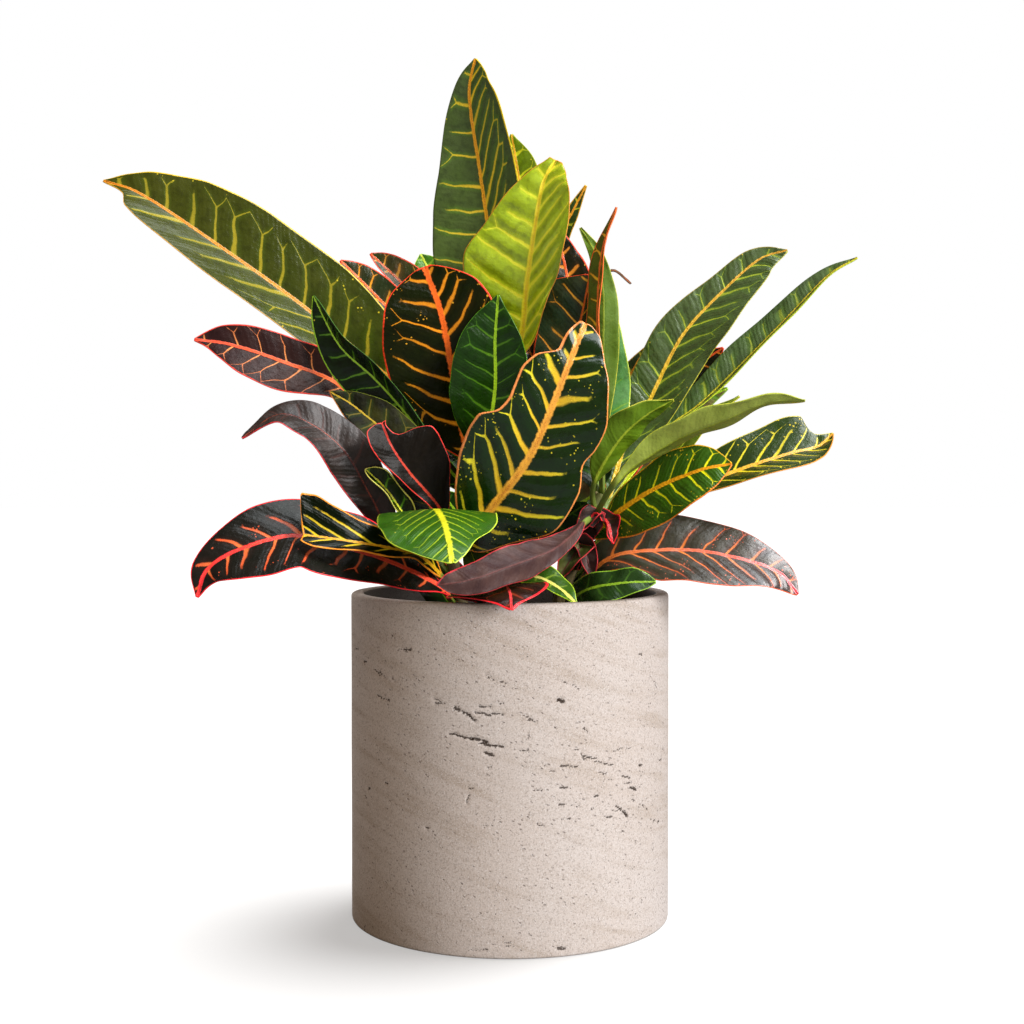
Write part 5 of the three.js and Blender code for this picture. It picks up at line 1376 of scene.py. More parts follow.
# small leaves painted dark, as painted shade, and those that have crumpled
SHADE_PAINTED_LOOK = dict(
    ground=("0c1808", "101c08"), rib=("4c6c18", "3c5414"), strength=0.15, margin="2c4414", gloss=0.15,
)
CRUMPLED = dict(ground=("201410", "3c2824"), cloud="6c5450", cloudy=0.6, under="2c1c18", pucker=1.4)
OWN = {
    "top_tall": dict(
        ground=("4c6024", "485830"), cloud="4c6818", rib=("fcbc1c", "fcb028"), rib_half=(1.5, 0.9),
        vein=("fcd028", "e4d030"), angle=(82, 26), spacing=(17, 16), reach=0.92, halo="649020",
        margin=("58681c", "f4d424"), margin_width=(0.3, 1.0), quilt=1.3,
    ),
    "top_behind": dict(
        ground=("587404", "6c8804"), cloud="586008", rib=("e8bc18", "e0ac28"), vein=("d4d818", "c4c820"),
        halo="586c08", margin="a8b018",
    ),
    "top_lime": dict(
        ground=("90ac10", "9cb414"), cloud="b8cc1c", rib=("fcf430", "fce830"), rib_half=(2.4, 1.2),
        vein=("fcfc38", "fcf438"), vein_half=0.8, angle=(72, 38), spacing=(15, 13), fork=0.72, reach=1.0,
        halo="d0e420", rough=0.22, gloss=0.8, quilt=0.7, pucker=1.3,
    ),
    "black_orange": dict(
        ground=("203824", "283824"), cloud="443818", rib=("fc8830", "fc7034"), vein=("fcb430", "fc9c30"),
        halo="584418", rough=0.24,
    ),
    "edge_on": dict(
        ground=("485014", "586814"), cloud="543c14", rib=("fc8830", "fc7034"), vein=("fcc828", "fca028"),
        halo="704814", margin=("fc5c28", "fc7430"), margin_width=(0.5, 1.6),
    ),
    "glossy_right": dict(
        ground=("609854", "78b06c"), cloud="54a430", vein="a4cc30", halo="54a430", margin="c4dc48",
        margin_width=(0.5, 0.7), rough=0.22, gloss=0.9,
    ),
    "round_ember": dict(
        ground=("101400", "101800"), cloud="201800", rib=("f07020", "f06824"), rib_half=(2.1, 1.6),
        feather=1.4, vein=("f0901c", "e8981c"), vein_half=0.8, angle=(62, 48), spacing=(15, 13),
        halo="302000", flecks="f0b030", flecked=0.22, margin="fc4424", margin_width=0.9, gloss=0.15,
    ),
    "green_front": dict(
        ground=("102800", "103000"), cloud="1c4004", rib=("9cbc18", "88b01c"), rib_half=(1.3, 0.7),
        vein=("68981c", "4c8818"), angle=62, spacing=11, halo="1c4004", margin="4c8418", margin_width=0.3,
    ),
    "front_gold": dict(
        ground=("062400", "0a2400"), cloud="182c08", rib=("f0b028", "f4a848"), rib_half=(2.7, 1.5),
        feather=1.2, core="b04014", vein=("f0b828", "e0e028"), vein_half=1.0, thin_out=0.1, angle=(50, 66),
        spacing=(15, 14.5), fork=0.72, reach=0.88, halo="1c3808", flecks="e8d828", flecked=0.26,
        margin=("fc9850", "f89848"), margin_width=(1.4, 0.7), rough=0.22, gloss=0.5, pucker=1.2,
    ),
    "big_left": dict(
        ground=("283804", "3c4008"), cloud="484c0c", rib=("e09818", "d88824"), rib_half=(1.6, 0.8),
        vein=("a09020", "8c8418"), vein_half=0.85, strength=0.95, thin_out=0.15, angle=(32, 61),
        spacing=(26, 17), fork=0.6, reach=0.86, halo="48580c", margin=("d8a030", "ecc428"),
        margin_width=(0.5, 0.6), gloss=0.25,
    ),
    "narrow_left": dict(
        ground=("041000", "081404"), cloud="184004", rib=("a0d030", "b8e840"), vein=("90d02c", "68b820"),
        halo="184004", margin=("98c830", "3c6818"), margin_width=(0.7, 0.4),
    ),
    "maroon_left": dict(
        ground=("241004", "281010"), cloud="301810", rib=("fc9048", "f05038"), rib_half=(1.4, 0.8),
        vein=("f8a058", "e87844"), vein_half=0.33, angle=(55, 62), spacing=(14, 16), fork=0.6, reach=1.0,
        halo="38180c", rough=0.4, gloss=0.22,
    ),
    # olive_left: its olive ground and underside are painted near black, as painted shade
    "olive_left": dict(
        ground=("080800", "0c0c00"), cloud="484808", under="1c2408", rib=("bc9828", "b09028"),
        vein=("a08824", "98802c"), halo="243804", margin=("c87c30", "5c6410"), margin_width=(0.4, 0.3),
        rough=0.5, gloss=0.08,
    ),
    "arching_maroon": dict(
        ground=("180c08", "28201c"), cloud="3c302c", cloudy=0.6, rib=("481c18", "3c1c1c"),
        rib_half=(0.8, 0.4), strength=0.03, halo="2c1818", glow=0.1, margin=("d82c34", "38201c"),
        margin_width=(0.7, 0.4), rough=0.4, gloss=0.4, quilt=2.0, pucker=1.0,
    ),
    "notched_maroon": dict(
        ground=("0c0804", "100c08"), cloud="1c140c", cloudy=0.4, rib=("c8402c", "b8342c"),
        rib_half=(0.9, 0.5), vein=("cc542c", "b84028"), strength=0.0, halo="201810", glow=0.1,
        margin="e84038", margin_width=0.5, rough=0.35, gloss=0.15,
    ),
    "small_curled": dict(
        ground=("040800", "080c00"), cloud="183c04", rib="f0f040", vein=("80c024", "60ac1c"), halo="183c04",
        margin="f0e870", margin_width=0.7,
    ),
    "folded_gold": dict(
        ground=("000800", "040c00"), cloud="081800", rib=("e8b820", "e4a020"), rib_half=(1.2, 0.6),
        vein=("e4c820", "d8b020"), vein_half=0.5, strength=0.9, angle=28, spacing=17, reach=0.7,
        halo="0c1c00", margin="f8982c", margin_width=0.9, gloss=0.15,
    ),
    "low_left": dict(
        ground=("0c1008", "181814"), cloud="281814", rib=("f85438", "f8343c"), rib_half=(1.7, 1.1),
        vein=("f87c40", "f0502c"), vein_half=0.75, angle=(62, 48), spacing=(14, 17), fork=0.6, reach=0.8,
        halo="341810", flecks="e86038", flecked=0.2, margin_width=(0.7, 0.5), gloss=0.2,
    ),
    "lime_front": dict(
        ground=("245000", "2c5c00"), cloud="3c6804", cloudy=0.4, rib=("dcd81c", "c8cc24"),
        rib_half=(2.2, 1.4), feather=1.2, core="e8e020", vein=("b4cc24", "98bc1c"), vein_half=0.35,
        strength=0.8, angle=42, spacing=9, reach=0.95, halo="3c6800", glow=0.2, margin="c8e03c",
        margin_width=0.6, rough=0.35,
    ),
    "over_rim": dict(
        ground=("24140c", "241410"), cloud="482014", under="382018", rib=("f44038", "ec3c48"),
        vein=("f05c34", "e04838"), strength=0.25, halo="582010", margin_width=1.6,
    ),
    "rim_green": dict(
        ground=("2c5010", "345c10"), cloud="446018", rib=("f0e48c", "ece068"), rib_half=(1.4, 0.9),
        vein=("a8c040", "8cb030"), halo="446818", rough=0.25,
    ),
    "low_right": dict(
        ground=("283018", "382828"), cloud="585444", cloudy=0.4, rib=("fc9028", "fc4c64"),
        rib_half=(1.4, 0.9), vein=("fc8c2c", "f05c34"), vein_half=0.45, strength=0.9, thin_out=0.5,
        angle=(66, 34), spacing=(14, 15), fork=0.85, reach=0.95, halo="602820", flecks="f07048",
        flecked=0.25, margin=("b84c28", "f8642c"), margin_width=(0.3, 0.6), rough=0.34, gloss=1.0,
        pucker=0.9,
    ),
    "mid_right": dict(
        ground=("34580c", "38600c"), cloud="385820", rib=("fcc018", "fca81c"), vein="fcf818", vein_half=0.5,
        thin_out=0.5, angle=(52, 58), spacing=(12, 11), halo="406c20", flecks="e8c420", flecked=0.25,
        margin=("fcc024", "fc8c2c"), margin_width=(0.6, 0.8), quilt=2.5,
    ),
    "far_right": dict(
        ground=("203404", "284008"), cloud="182c08", rib=("f8c830", "f4b838"), vein=("f8e428", "ece028"),
        vein_half=0.55, angle=(42, 50), spacing=(13, 12), halo="203808", flecks="f0d820", flecked=0.3,
        margin=("d8c828", "f09c2c"), margin_width=(0.4, 0.9), gloss=0.5,
    ),
    "long_olive": dict(
        ground=("708814", "88a020"), cloud="a8b450", cloudy=0.5, under="8c9c38", halo="5c8818",
        margin=("e8c838", "b8c030"), margin_width=(0.5, 0.3), gloss=0.5,
    ),
    "short_olive": dict(
        ground=("2c4c00", "385c00"), cloud="647c04", under="5c7c0c", rib=("bcd030", "b0c030"),
        vein="90b814", halo="385c00",
    ),
    "broad_right": dict(
        ground=("38501c", "485c28"), cloud="3c5818", rib=("f8d028", "f0bc30"), vein=("e0f030", "d0e838"),
        vein_half=0.42, strength=0.55, thin_out=0.5, angle=(62, 36), spacing=(17, 14), fork=0.62,
        reach=0.98, halo="50781c", margin=("a89830", "c8c430"), margin_width=0.4, rough=0.34, gloss=0.9,
        quilt=2.6, pucker=0.9,
    ),
    "narrow_right": dict(
        ground=("405828", "506838"), cloud="507020", rib=("e4e830", "f8e038"), rib_half=(0.8, 0.5),
        vein=("e8f030", "e4e430"), strength=0.35, halo="6c9428", margin=("486418", "d8ec20"),
        margin_width=(0.3, 2.4), rough=0.34, gloss=0.9, quilt=2.2,
    ),
    "drooped": dict(
        ground=("2c3410", "444814"), cloud="707840", rib="643428", vein="784438", halo="645c34", rough=0.5,
        pucker=0.9,
    ),
    "dusky_front": dict(
        ground=("201808", "282014"), cloud="5c4038", cloudy=0.75, under="382020", strength=0.0,
        halo="2c2014", margin_width=(0.9, 0.5), rough=0.38, gloss=0.35, quilt=2.5, pucker=1.5,
    ),
    "upright_olive": dict(ground=("507808", "588010"), cloud="6c941c", under="58741c", halo="3c7010"),
    "rim_dark": dict(
        ground=("1c3010", "1c3810"), cloud="2c4818", rib=("9cbc28", "88b02c"), vein=("68982c", "4c8820"),
        strength=0.3, halo="2c4818",
    ),
    "dull_right": dict(
        ground=("685438", "806848"), cloud="60d838", rib=("d0fc28", "b8e82c"), vein=("90d02c", "68b820"),
        halo="60d838",
    ),
    "ember_left": dict(
        ground=("283410", "202c10"), cloud="48381c", rib=("fc8020", "f46824"), vein=("fca820", "e89020"),
        halo="60481c",
    ),
    "ember_middle": dict(
        ground=("38440c", "303c0c"), cloud="6c4c14", rib=("fc8830", "fc7034"), vein=("fcb430", "f49c30"),
        halo="8c5c14",
    ),
    # five small leaves painted dark, as painted shade
    "inner_right": SHADE_PAINTED_LOOK,
    "inner_front": SHADE_PAINTED_LOOK,
    "inner_left": SHADE_PAINTED_LOOK,
    "inner_low_left": SHADE_PAINTED_LOOK,
    "inner_low_right": SHADE_PAINTED_LOOK,
    "crumpled_top": CRUMPLED,
    "crumpled_low": CRUMPLED,
    "crumpled_side": dict(
        ground=("201410", "382420"), cloud="5c4440", cloudy=0.6, under="2c1c18", strength=0.1, pucker=1.2,
    ),
}
PAIRED = ("ground", "rib", "rib_half", "vein", "angle", "spacing", "margin", "margin_width")


def look_of(row):
    look = {**PLAIN_LOOK, **LOOKS[row["look"]], **OWN.get(row["name"], {})}
    for key in PAIRED:
        if not isinstance(look[key], tuple):
            look[key] = (look[key], look[key])
    return look


print(len(LOOKS), "looks, and", len(OWN), "leaves with values of their own")

# %% Points along and across a blade
STATION_STEP = 1.9
STATIONS = (40, 120)  # fewest and most
CROWDING = 1.3  # how much closer the stations stand towards the tip
STALK_STEP = 4
STALK_STATIONS = 4
ACROSS_STEP = 1.7
POINTS_ACROSS = (6, 18)
EDGE_BAND = 0.965  # the last points before the edge
HIDDEN_SHARE = 0.7  # hidden leaves need fewer points


def stations_of(row, length):
    share = row["stalk"]
    count = int(np.clip(length * (1 - share) / STATION_STEP, *STATIONS))
    if row["hidden"]:
        count = int(count * HIDDEN_SHARE)
    blade = 1 - (1 - np.linspace(0, 1, count + 1)) ** CROWDING
    in_stalk = max(int(length * share / STALK_STEP), STALK_STATIONS)
    return np.concatenate([np.linspace(0, share, in_stalk, endpoint=False), share + (1 - share) * blade])


def across_of(widths, hidden):
    """From -1 at the left edge through the midrib to 1 at the right edge."""
    widest = max(key[1] for side in widths for key in side)
    count = int(np.clip(widest / ACROSS_STEP, *POINTS_ACROSS) * (HIDDEN_SHARE if hidden else 1))
    one = np.concatenate([np.linspace(0, EDGE_BAND, count), [1]])
    return np.concatenate([-one[:0:-1], one])


def axes_of(row, midrib, u):
    """Directions at each station: along the midrib, up from the blade, and to its right."""
    along = midrib.direction(u)
    looks = np.atleast_2d(np.array(row["facing"], float))
    looks /= np.linalg.norm(looks, axis=1)[:, None]
    up = looks[0] + u[:, None] * (looks[-1] - looks[0])
    up -= (up * along).sum(1)[:, None] * along
    up /= np.linalg.norm(up, axis=1)[:, None]
    return along, up, np.cross(along, up)


print("a plain leaf has", len(across_of(half_widths({**USUAL_LEAF, "wide": 40}), False)), "points across")

# %% A blade
BLADE_DEPTH = 0.55
EDGE_DEPTH = 0.28
STALK_DEPTH = 3
STALK_FADES = 0.1  # share of the blade over which the round stalk flattens
ROUNDNESS = 0.96
RIB_DEPTH = 1.5
RIB_THINS = 0.7
RIB_HALF = 1.7
CREASE = 1.6  # how gently the two halves meet at the midrib
FULL_FOLD = 0.25
WAVE_FADE = 0.7
WAVES = 3
SIDE_SHIFT = 1.9
LEAF_SHIFT = 1.7
PUCKER_OUT = 1.05
NEARLY_NOTHING = 1e-9


def vectors(scale, way):
    """A vector at each point: so far along its station's direction."""
    return scale[..., None] * way[:, None, :]


def thickness(q, t, out):
    """The stalk is round, and the midrib a ridge that thins out towards the tip."""
    stalk = 1 - np.clip(t / STALK_FADES, 0, 1)
    ridge = STALK_DEPTH * stalk + (RIB_DEPTH * (1 - t * RIB_THINS) - BLADE_DEPTH) * (1 - stalk)
    bulge = stalk * np.sqrt(1 - q ** 2 * ROUNDNESS) + (1 - stalk) * np.exp(-(out / RIB_HALF) ** 2)
    return np.where(np.abs(q) < 1, BLADE_DEPTH, EDGE_DEPTH) + ridge * bulge


def blade(row, look, index):
    """The points of a leaf's upper and under side, and what its finish needs to know at each."""
    midrib = Path([stem_paths[row["stem"]].place([row["at"]])[0], *row["path"]])
    widths = half_widths(row)
    u = stations_of(row, midrib.length)
    q = across_of(widths, row["hidden"])
    along, up, right = axes_of(row, midrib, u)
    left_half = q < 0
    side = np.where(left_half, -1, 1)

    def pick(pair):
        return np.where(left_half, pair[0], pair[1])

    t = np.maximum((u - row["stalk"]) / (1 - row["stalk"]), 0)[:, None]
    width = pick([flow(keys, t) for keys in widths])
    out = np.abs(q) * width
    opened = np.minimum(t / FULL_FOLD, 1)
    fold = np.radians(pick(row["fold"])) * opened
    bend = np.radians(pick(row["curl"])) * opened * np.abs(q)
    mean, rise = fold + bend / 2, fold + bend
    crease = CREASE * opened
    lift = np.sqrt(out ** 2 + crease ** 2) - crease
    # ruffled edges
    swell = row["wave"] * q ** 2 * np.sin(np.pi * np.minimum(t, 1)) ** WAVE_FADE
    turn = 2 * np.pi * WAVES * t + index * LEAF_SHIFT + pick([SIDE_SHIFT, 0])
    # bulges between the veins
    along_blade = np.repeat((u[:, None] - row["stalk"]) * midrib.length, len(q), 1)
    shift = pick([0, VEIN_SIDE_SHIFT]) + index * VEIN_LEAF_SHIFT
    count = vein_count(along_blade, out, pick(leans(look)), pick(look["spacing"]), shift, np.sin)
    room = np.sin(np.pi * np.minimum(np.abs(q) * PUCKER_OUT, 1)) ** 0.5 * opened
    pucker = look["pucker"] * room * (0.5 + 0.5 * np.cos(2 * np.pi * count))
    height = lift * np.sin(mean) + swell * np.sin(turn) + pucker

    top = midrib.place(u)[:, None, :] + vectors(side * out * np.cos(mean), right) + vectors(height, up)
    top = top + vectors(row["sweep"] * out * opened, along)
    steep = rise * out / np.sqrt(out ** 2 + crease ** 2 + NEARLY_NOTHING)
    normal = vectors(np.cos(steep), up) - vectors(side * np.sin(steep), right)
    under = top - normal * thickness(q, t, out)[..., None]
    to_tip = (1 - t) * midrib.length * (1 - row["stalk"])
    guide = {"share": t + 0 * q, "side": q + 0 * t, "rim": np.minimum(width - out, to_tip),
             "along": along_blade, "across": side * out}
    return top, under, guide


def blade_mesh(name, top, under, guide):
    """A ring at each station runs over the upper side and back along the under side."""
    stations, wide = top.shape[:2]
    count = 2 * wide
    points = np.concatenate([under[:, ::-1], top], 1).reshape(-1, 3) * MM
    k = np.arange(wide - 1)
    first = np.stack([k, count - 1 - k, count - 2 - k, k + 1], 1)
    last = np.stack([k, k + 1, count - 2 - k, count - 1 - k], 1) + (stations - 1) * count
    faces = ring_faces(stations, count) + first.tolist() + last.tolist()
    both = {key: np.concatenate([values[:, ::-1], values], 1).ravel() for key, values in guide.items()}
    upper = np.tile(np.arange(count) >= wide, stations)
    place = np.stack([both["share"], both["side"], upper], 1)
    uv = np.stack([both["along"], both["across"]], 1)
    return mesh_from(name, points, faces, {"place": place, "rim": both["rim"]}, uv)


sample = blade(LEAVES[0], look_of(LEAVES[0]), 0)
print("the tallest leaf has", sample[0].shape[0], "stations of", sample[0].shape[1], "points")

# %% [markdown]
# ## The skin of a leaf
#
# The finish reads two lengths that the mesh carries as its own flat map: how far a spot lies from
# the blade's base along the midrib, and how far out from the midrib. Everything is drawn from them
# in layers, as a painter would: ground colour with soft clouds and a darker mottle, a glow around the
# veins, the veins themselves, flecks, the midrib with its frayed edge and worn middle, and the
# coloured margin. Fine noise is added to each distance before its edge is cut, so that no line is
# clean. The underside is a dull version of the same. Where the stalk begins, its own colour takes
# over. The bump follows the same patterns, with rows of fine ribs that run beside the side veins.

# %% What a leaf's skin is measured by
# Patterns: scale for each millimetre, and detail
SKIN_PATTERNS = {
    "clouds": (0.055, 3.0), "bends": (0.07, 1.0), "ragged": (0.5, 3.0), "grain": (1.7, 2.0),
    "mottle": (0.21, 4.0),
}
LEAF_APART = (71.3, 13.7, 0)  # each leaf reads the patterns at a place of its own
# Seeds of what is drawn for each vein: its width, its reach and whether it forks late
SIDE_SEED = 37.0
LEAF_SEED = 101.0
DRAWN = (0.0, 0.3, 0.6)
# Side veins, in millimetres
VEIN_BENDS = 5.0
VEIN_FRAYED = 0.7
VEIN_SOFT = 0.15
VEIN_EDGE = (1.4, 0.5)  # a vein ends between these parts of its width
# Of these pairs the first number holds at the midrib or where a draw is 0, and the second is added
# towards the edge or where the draw is 1
VEIN_WIDTH = (0.75, 0.5)
VEIN_TAPER = (1.3, -0.85)
VEIN_REACH = (0.75, 0.4)
VEIN_END = 0.14
VEIN_END_FRAYED = 0.2
VEIN_STRENGTH = (0.8, 0.35)
VEIN_PATCHY = (0.75, 0.9)  # the same for the grain less the clouds
CLOUDS_THIN = 0.4
HALO_WIDE = 3.0
HALO_FRAYED = 2.0
FORKS_LATE = (0.55, 0.65)  # a vein whose draw is above these forks later, by the next value
FORK_LATER = 0.5
FORK_SPREAD = 0.95  # how fast the two arms of a fork part
ARM_THIN = 0.25
# Midrib and margin: between which parts of their width they end
RIB_EDGE = (1.3, 0.7)
RIB_FRAYED = 2.0
WORN_SHOWS = (0.7, 0.86)
WORN_HALF = 0.85
MARGIN_WIDTH = (0.55, 0.9)  # where the clouds are 0, and what is added where they are 1
MARGIN_EDGE = (1.25, 0.7)
MARGIN_SOFT = 0.05
MARGIN_FRAYED = 0.7
# Flecks: their grid, how far from the middle they end, and where they crowd
FLECK_SCALE = 0.6
FLECK_EDGE = (0.46, 0.22)
FLECK_FRAYED = 0.55
FLECK_SIZES = 0.24
FLECK_FEW = 1.42
FLECK_SOFT = 0.04
CROWD_SHOWS = (0.45, 0.7)
CROWD_CLOUDS = 0.3
CROWD_EDGE = 0.24
# How much each layer covers
CLOUD_SHOWS = (0.35, 0.75)
MOTTLE_SHOWS = (0.44, 0.68)
MOTTLE_COVER = 0.27
FLECK_COVER = 0.75
WORN_COVER = 0.7
MARGIN_COVER = 0.9
VEIN_BELOW = 0.5
RIB_BELOW = 0.7
STALK_OLD = "6c7434"
STALK_FROM = (3.0, -2.0)  # millimetres up the blade where the stalk's colour begins and is full
STALK_FRAYED = 4.0
UNDER_ROUGH = 0.6
ROUGH_CLOUDS = 0.16
ROUGH_GRAIN = 0.06
SKIN_BUMP = 0.8
SKIN_RELIEF = {"clouds": 0.0009, "mottle": 0.0004, "ragged": 0.00016, "grain": 0.00005}
RIB_RELIEF = 0.0002
VEIN_RELIEF = 0.00005
FINE_RIBS = 27.0  # turns of the fine ribs' wave from vein to vein
FINE_RIBS_FRAYED = 5.0
FINE_RELIEF = 0.00003
print("patterns of the skin:", ", ".join(SKIN_PATTERNS))


# %% Leaf finish
class Skin(Finish):
    """The finish of one leaf."""

    def __init__(self, name, look, index):
        super().__init__("skin_of_" + name)
        self.look = look
        self.index = index
        flat = self.node("ShaderNodeUVMap", {"uv_map": "skin"})
        self.along = self.split(flat)
        across = self.along.out("Y")
        self.off = abs(across)
        self.on_right = across.math("GREATER_THAN", 0.0)
        self.share = self.split(self.attribute("place", "Vector"))
        self.edgewards = abs(self.share.out("Y"))
        apart = [index * step for step in LEAF_APART]
        self.spot = self.node("ShaderNodeVectorMath", {"operation": "ADD"}, {0: flat, 1: apart})
        self.clouds, bends, ragged, self.grain, self.mottle = self.noises(self.spot, SKIN_PATTERNS)
        self.bends = bends - 0.5
        self.ragged = ragged - 0.5

    def halves(self, pair):
        return self.between(self.on_right, *pair)

    def pair(self, share, key):
        return self.blend(share, *map(paint, self.look[key]))

    def count_veins(self):
        shift = self.on_right * VEIN_SIDE_SHIFT + self.index * VEIN_LEAF_SHIFT
        lean, spacing = self.halves(leans(self.look)), self.halves(self.look["spacing"])
        bent = self.along + self.bends * VEIN_BENDS
        return vein_count(bent, self.off, lean, spacing, shift, lambda x: x.math("SINE"))

    def side_veins(self, count):
        """How strongly side veins and the halo around them cover a spot. Veins part in two arms."""
        look, out, ragged = self.look, self.edgewards, self.ragged
        number = count.floor()
        seed = number + self.on_right * SIDE_SEED + self.index * LEAF_SEED
        thick, far, forks = (self.chance(seed + extra) for extra in DRAWN)
        apart = abs(count - number - 0.5) * self.halves(gaps(look))
        fork = self.step(forks, *FORKS_LATE) * FORK_LATER + look["fork"]
        opened = ((1 - fork / out) * self.off).at_least(0.0)
        forked = abs(apart - opened * FORK_SPREAD)
        width = self.varied(thick, *VEIN_WIDTH) * self.varied(out, *VEIN_TAPER)
        width = width * look["vein_half"] / (opened * ARM_THIN + 1)
        outer, inner = VEIN_EDGE
        line = self.step(forked + ragged * VEIN_FRAYED, width * outer + VEIN_SOFT, width * inner)
        reach = self.varied(far, *VEIN_REACH) * look["reach"]
        fade = self.step(out + ragged * VEIN_END_FRAYED, reach, reach - VEIN_END)
        patchy = self.varied(self.grain - self.clouds * CLOUDS_THIN, *VEIN_PATCHY)
        strength = self.varied(far, *VEIN_STRENGTH) * (patchy - out * look["thin_out"])
        veins = (line * fade * strength * look["strength"]).at_most(1.0).at_least(0.0)
        halo = self.step(forked + ragged * HALO_FRAYED, width + HALO_WIDE, width) * fade * look["glow"]
        return veins, halo

    def flecks(self):
        """Small spots, in crowds where clouds are thick and towards the edge."""
        inputs = {"Vector": self.spot, "Scale": FLECK_SCALE}
        cells = self.node("ShaderNodeTexVoronoi", {"voronoi_dimensions": "2D"}, inputs)
        luck = self.node("ShaderNodeSeparateColor", inputs={"Color": cells.out("Color")})
        crowd = self.step(self.clouds, *CROWD_SHOWS) * CROWD_CLOUDS + self.edgewards * CROWD_EDGE
        few = FLECK_FEW - self.look["flecked"]
        off = cells + self.ragged * FLECK_FRAYED + luck.out("Green") * FLECK_SIZES
        return self.step(off, *FLECK_EDGE) * self.step(luck + crowd, few, few + FLECK_SOFT)

    def midrib(self):
        """How strongly the midrib and its worn middle cover a spot."""
        half = self.between(self.share, *self.look["rib_half"])
        outer, inner = RIB_EDGE
        off = self.off + self.ragged * self.look["feather"] * RIB_FRAYED
        rib = self.step(off, half * outer, half * inner)
        worn = self.step(self.grain + self.clouds * 0.5, *WORN_SHOWS)
        return rib, worn * self.step(self.off, half * WORN_HALF, 0.0)

    def edge(self):
        width = self.halves(self.look["margin_width"]) * self.varied(self.clouds, *MARGIN_WIDTH)
        outer, inner = MARGIN_EDGE
        off = self.attribute("rim") + self.ragged * MARGIN_FRAYED
        return self.step(off, width * outer + MARGIN_SOFT, width * inner)

    def colors(self, upper, veins, halo, rib, worn):
        look = self.look
        cloudy = self.step(self.clouds, *CLOUD_SHOWS) * look["cloudy"]
        mottle = self.step(self.mottle, *MOTTLE_SHOWS)
        top = self.layered(
            self.pair(self.share, "ground"),
            (cloudy, paint(look["cloud"])),
            (mottle * MOTTLE_COVER, grey(0.0)),
            (halo, paint(look["halo"])),
            (veins, self.pair(self.edgewards, "vein")),
            (self.flecks() * FLECK_COVER, paint(look["flecks"])),
            (rib, self.pair(self.share, "rib")),
            (worn * WORN_COVER, paint(look["core"])))
        below = self.layered(
            paint(look["under"]),
            (cloudy, paint(look["cloud"])),
            (veins * VEIN_BELOW, paint(look["vein"][1])),
            (rib * RIB_BELOW, paint(look["rib"][1])))
        stalk = self.blend(self.clouds, paint(look["stalk"]), paint(STALK_OLD))
        return self.layered(
            below, (upper, top), (self.edge() * MARGIN_COVER, self.pair(self.on_right, "margin")),
            (self.step(self.along + self.ragged * STALK_FRAYED, *STALK_FROM), stalk))

    def relief(self, count, veins, rib):
        height = self.clouds * SKIN_RELIEF["clouds"]
        for name in ("mottle", "ragged", "grain"):
            height = height + getattr(self, name) * SKIN_RELIEF[name]
        fine = (count * FINE_RIBS + self.ragged * FINE_RIBS_FRAYED).math("SINE") * FINE_RELIEF
        return height + fine * self.look["quilt"] - veins * VEIN_RELIEF + rib * RIB_RELIEF

    def made(self):
        upper = self.share.out("Z")
        count = self.count_veins()
        veins, halo = self.side_veins(count)
        rib, worn = self.midrib()
        top_rough = (self.clouds - 0.5) * ROUGH_CLOUDS + self.look["rough"]
        rough = self.between(upper, UNDER_ROUGH, top_rough) + self.grain * ROUGH_GRAIN
        color = self.colors(upper, veins, halo, rib, worn)
        height = self.relief(count, veins, rib)
        return self.end(color, rough, height, relief=SKIN_BUMP, gloss=self.look["gloss"])


sample_skin = Skin("sample", look_of(LEAVES[0]), 0).made()
print("a leaf's finish has", len(sample_skin.node_tree.nodes), "nodes")
bpy.data.materials.remove(sample_skin)

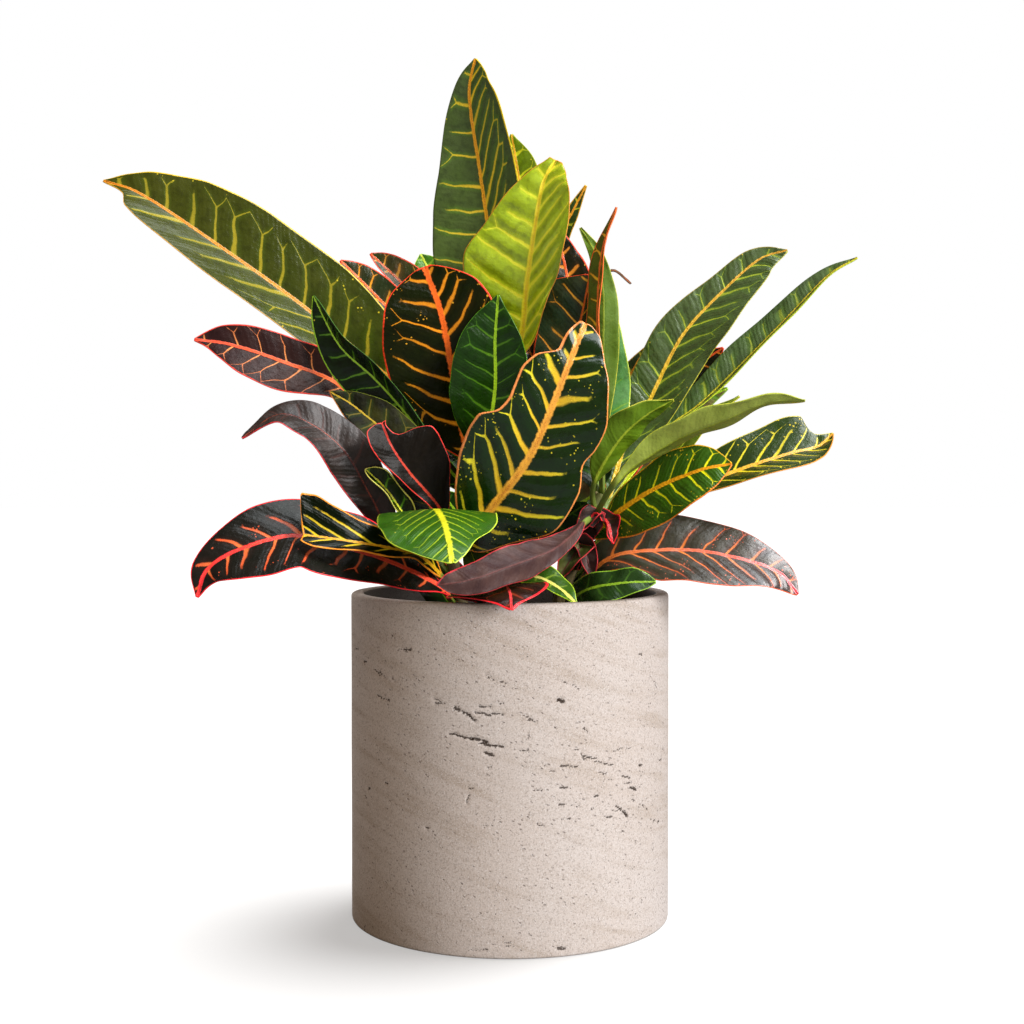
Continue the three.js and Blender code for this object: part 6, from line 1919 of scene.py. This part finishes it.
# %% All leaves
def place_leaf(row, index, *nodes):
    """One leaf with its blade and its skin. Returns how many faces it has."""
    name, look = row["name"], look_of(row)
    mesh = blade_mesh(name, *blade(row, look, index))
    place_piece(name + "_leaf", mesh, "leaf_" + row["look"], Skin(name, look, index).made(), *nodes)
    return len(mesh.polygons)


leaf_faces = [place_leaf(row, index, "leaf_" + row["name"]) for index, row in enumerate(LEAVES)]
print(len(LEAVES), "leaves with", sum(leaf_faces), "faces in all")

# %% [markdown]
# ## Small leaves inside the crown
#
# Between the stalks of a young plant sit small leaves: some that haven't grown out, in the shade of
# the large ones, and some that have withered and crumpled at the foot of a stem. Those in the shade
# are painted dark, as painted shade, which also fills gaps between the large leaves. They are too
# small and too far inside for solids of their own, so they are only added here.

# %% Inner leaves
INNER_LEAVES = [
    leaf("inner_right", "green", "right", 0.95, [[52, -20, 280], [44, -14, 312]], [0.2, -1, 0.2], wide=26),
    leaf("inner_front", "green", "main", 0.3, [[12, 0, 234], [48, -14, 260]], [0, -1, 0.5], fold=[10, 10],
         wide=30),
    leaf("inner_left", "green", "main", 0.6, [[-24, -2, 282], [-48, -14, 298]], [0, -1, 0.4], fold=[10, 10],
         wide=24),
    leaf("inner_low_left", "green", "left", 0.25, [[-42, -28, 206], [-64, -20, 232]], [0, -1, 0.4],
         fold=[10, 10], wide=24),
    leaf("inner_low_right", "green", "right", 0.15, [[40, -10, 206], [58, -6, 238]], [0, -1, 0.4],
         fold=[10, 10], wide=24),
    leaf("crumpled_top", "dusk", "right", 0.66, [[50, -38, 252], [40, -48, 242]], [0, -1, 0.3],
         fold=[34, 10], curl=[60, 70], wave=3, wide=20),
    leaf("crumpled_side", "crimson", "right", 0.8, [[58, -38, 250], [62, -48, 236]], [0.3, -1, 0.3],
         fold=[20, 40], curl=[70, 40], wave=3, wide=18),
    leaf("crumpled_low", "dusk", "right", 0.5, [[44, -38, 232], [50, -46, 214]], [0, -1, 0.3],
         fold=[20, 30], curl=[50, 60], wave=3, wide=20),
]
inner_faces = [place_leaf(row, len(LEAVES) + extra) for extra, row in enumerate(INNER_LEAVES)]
print(len(INNER_LEAVES), "small leaves with", sum(inner_faces), "faces in all")

# %% [markdown]
# ## The end
#
# The dressed plant must keep the size of its solids.
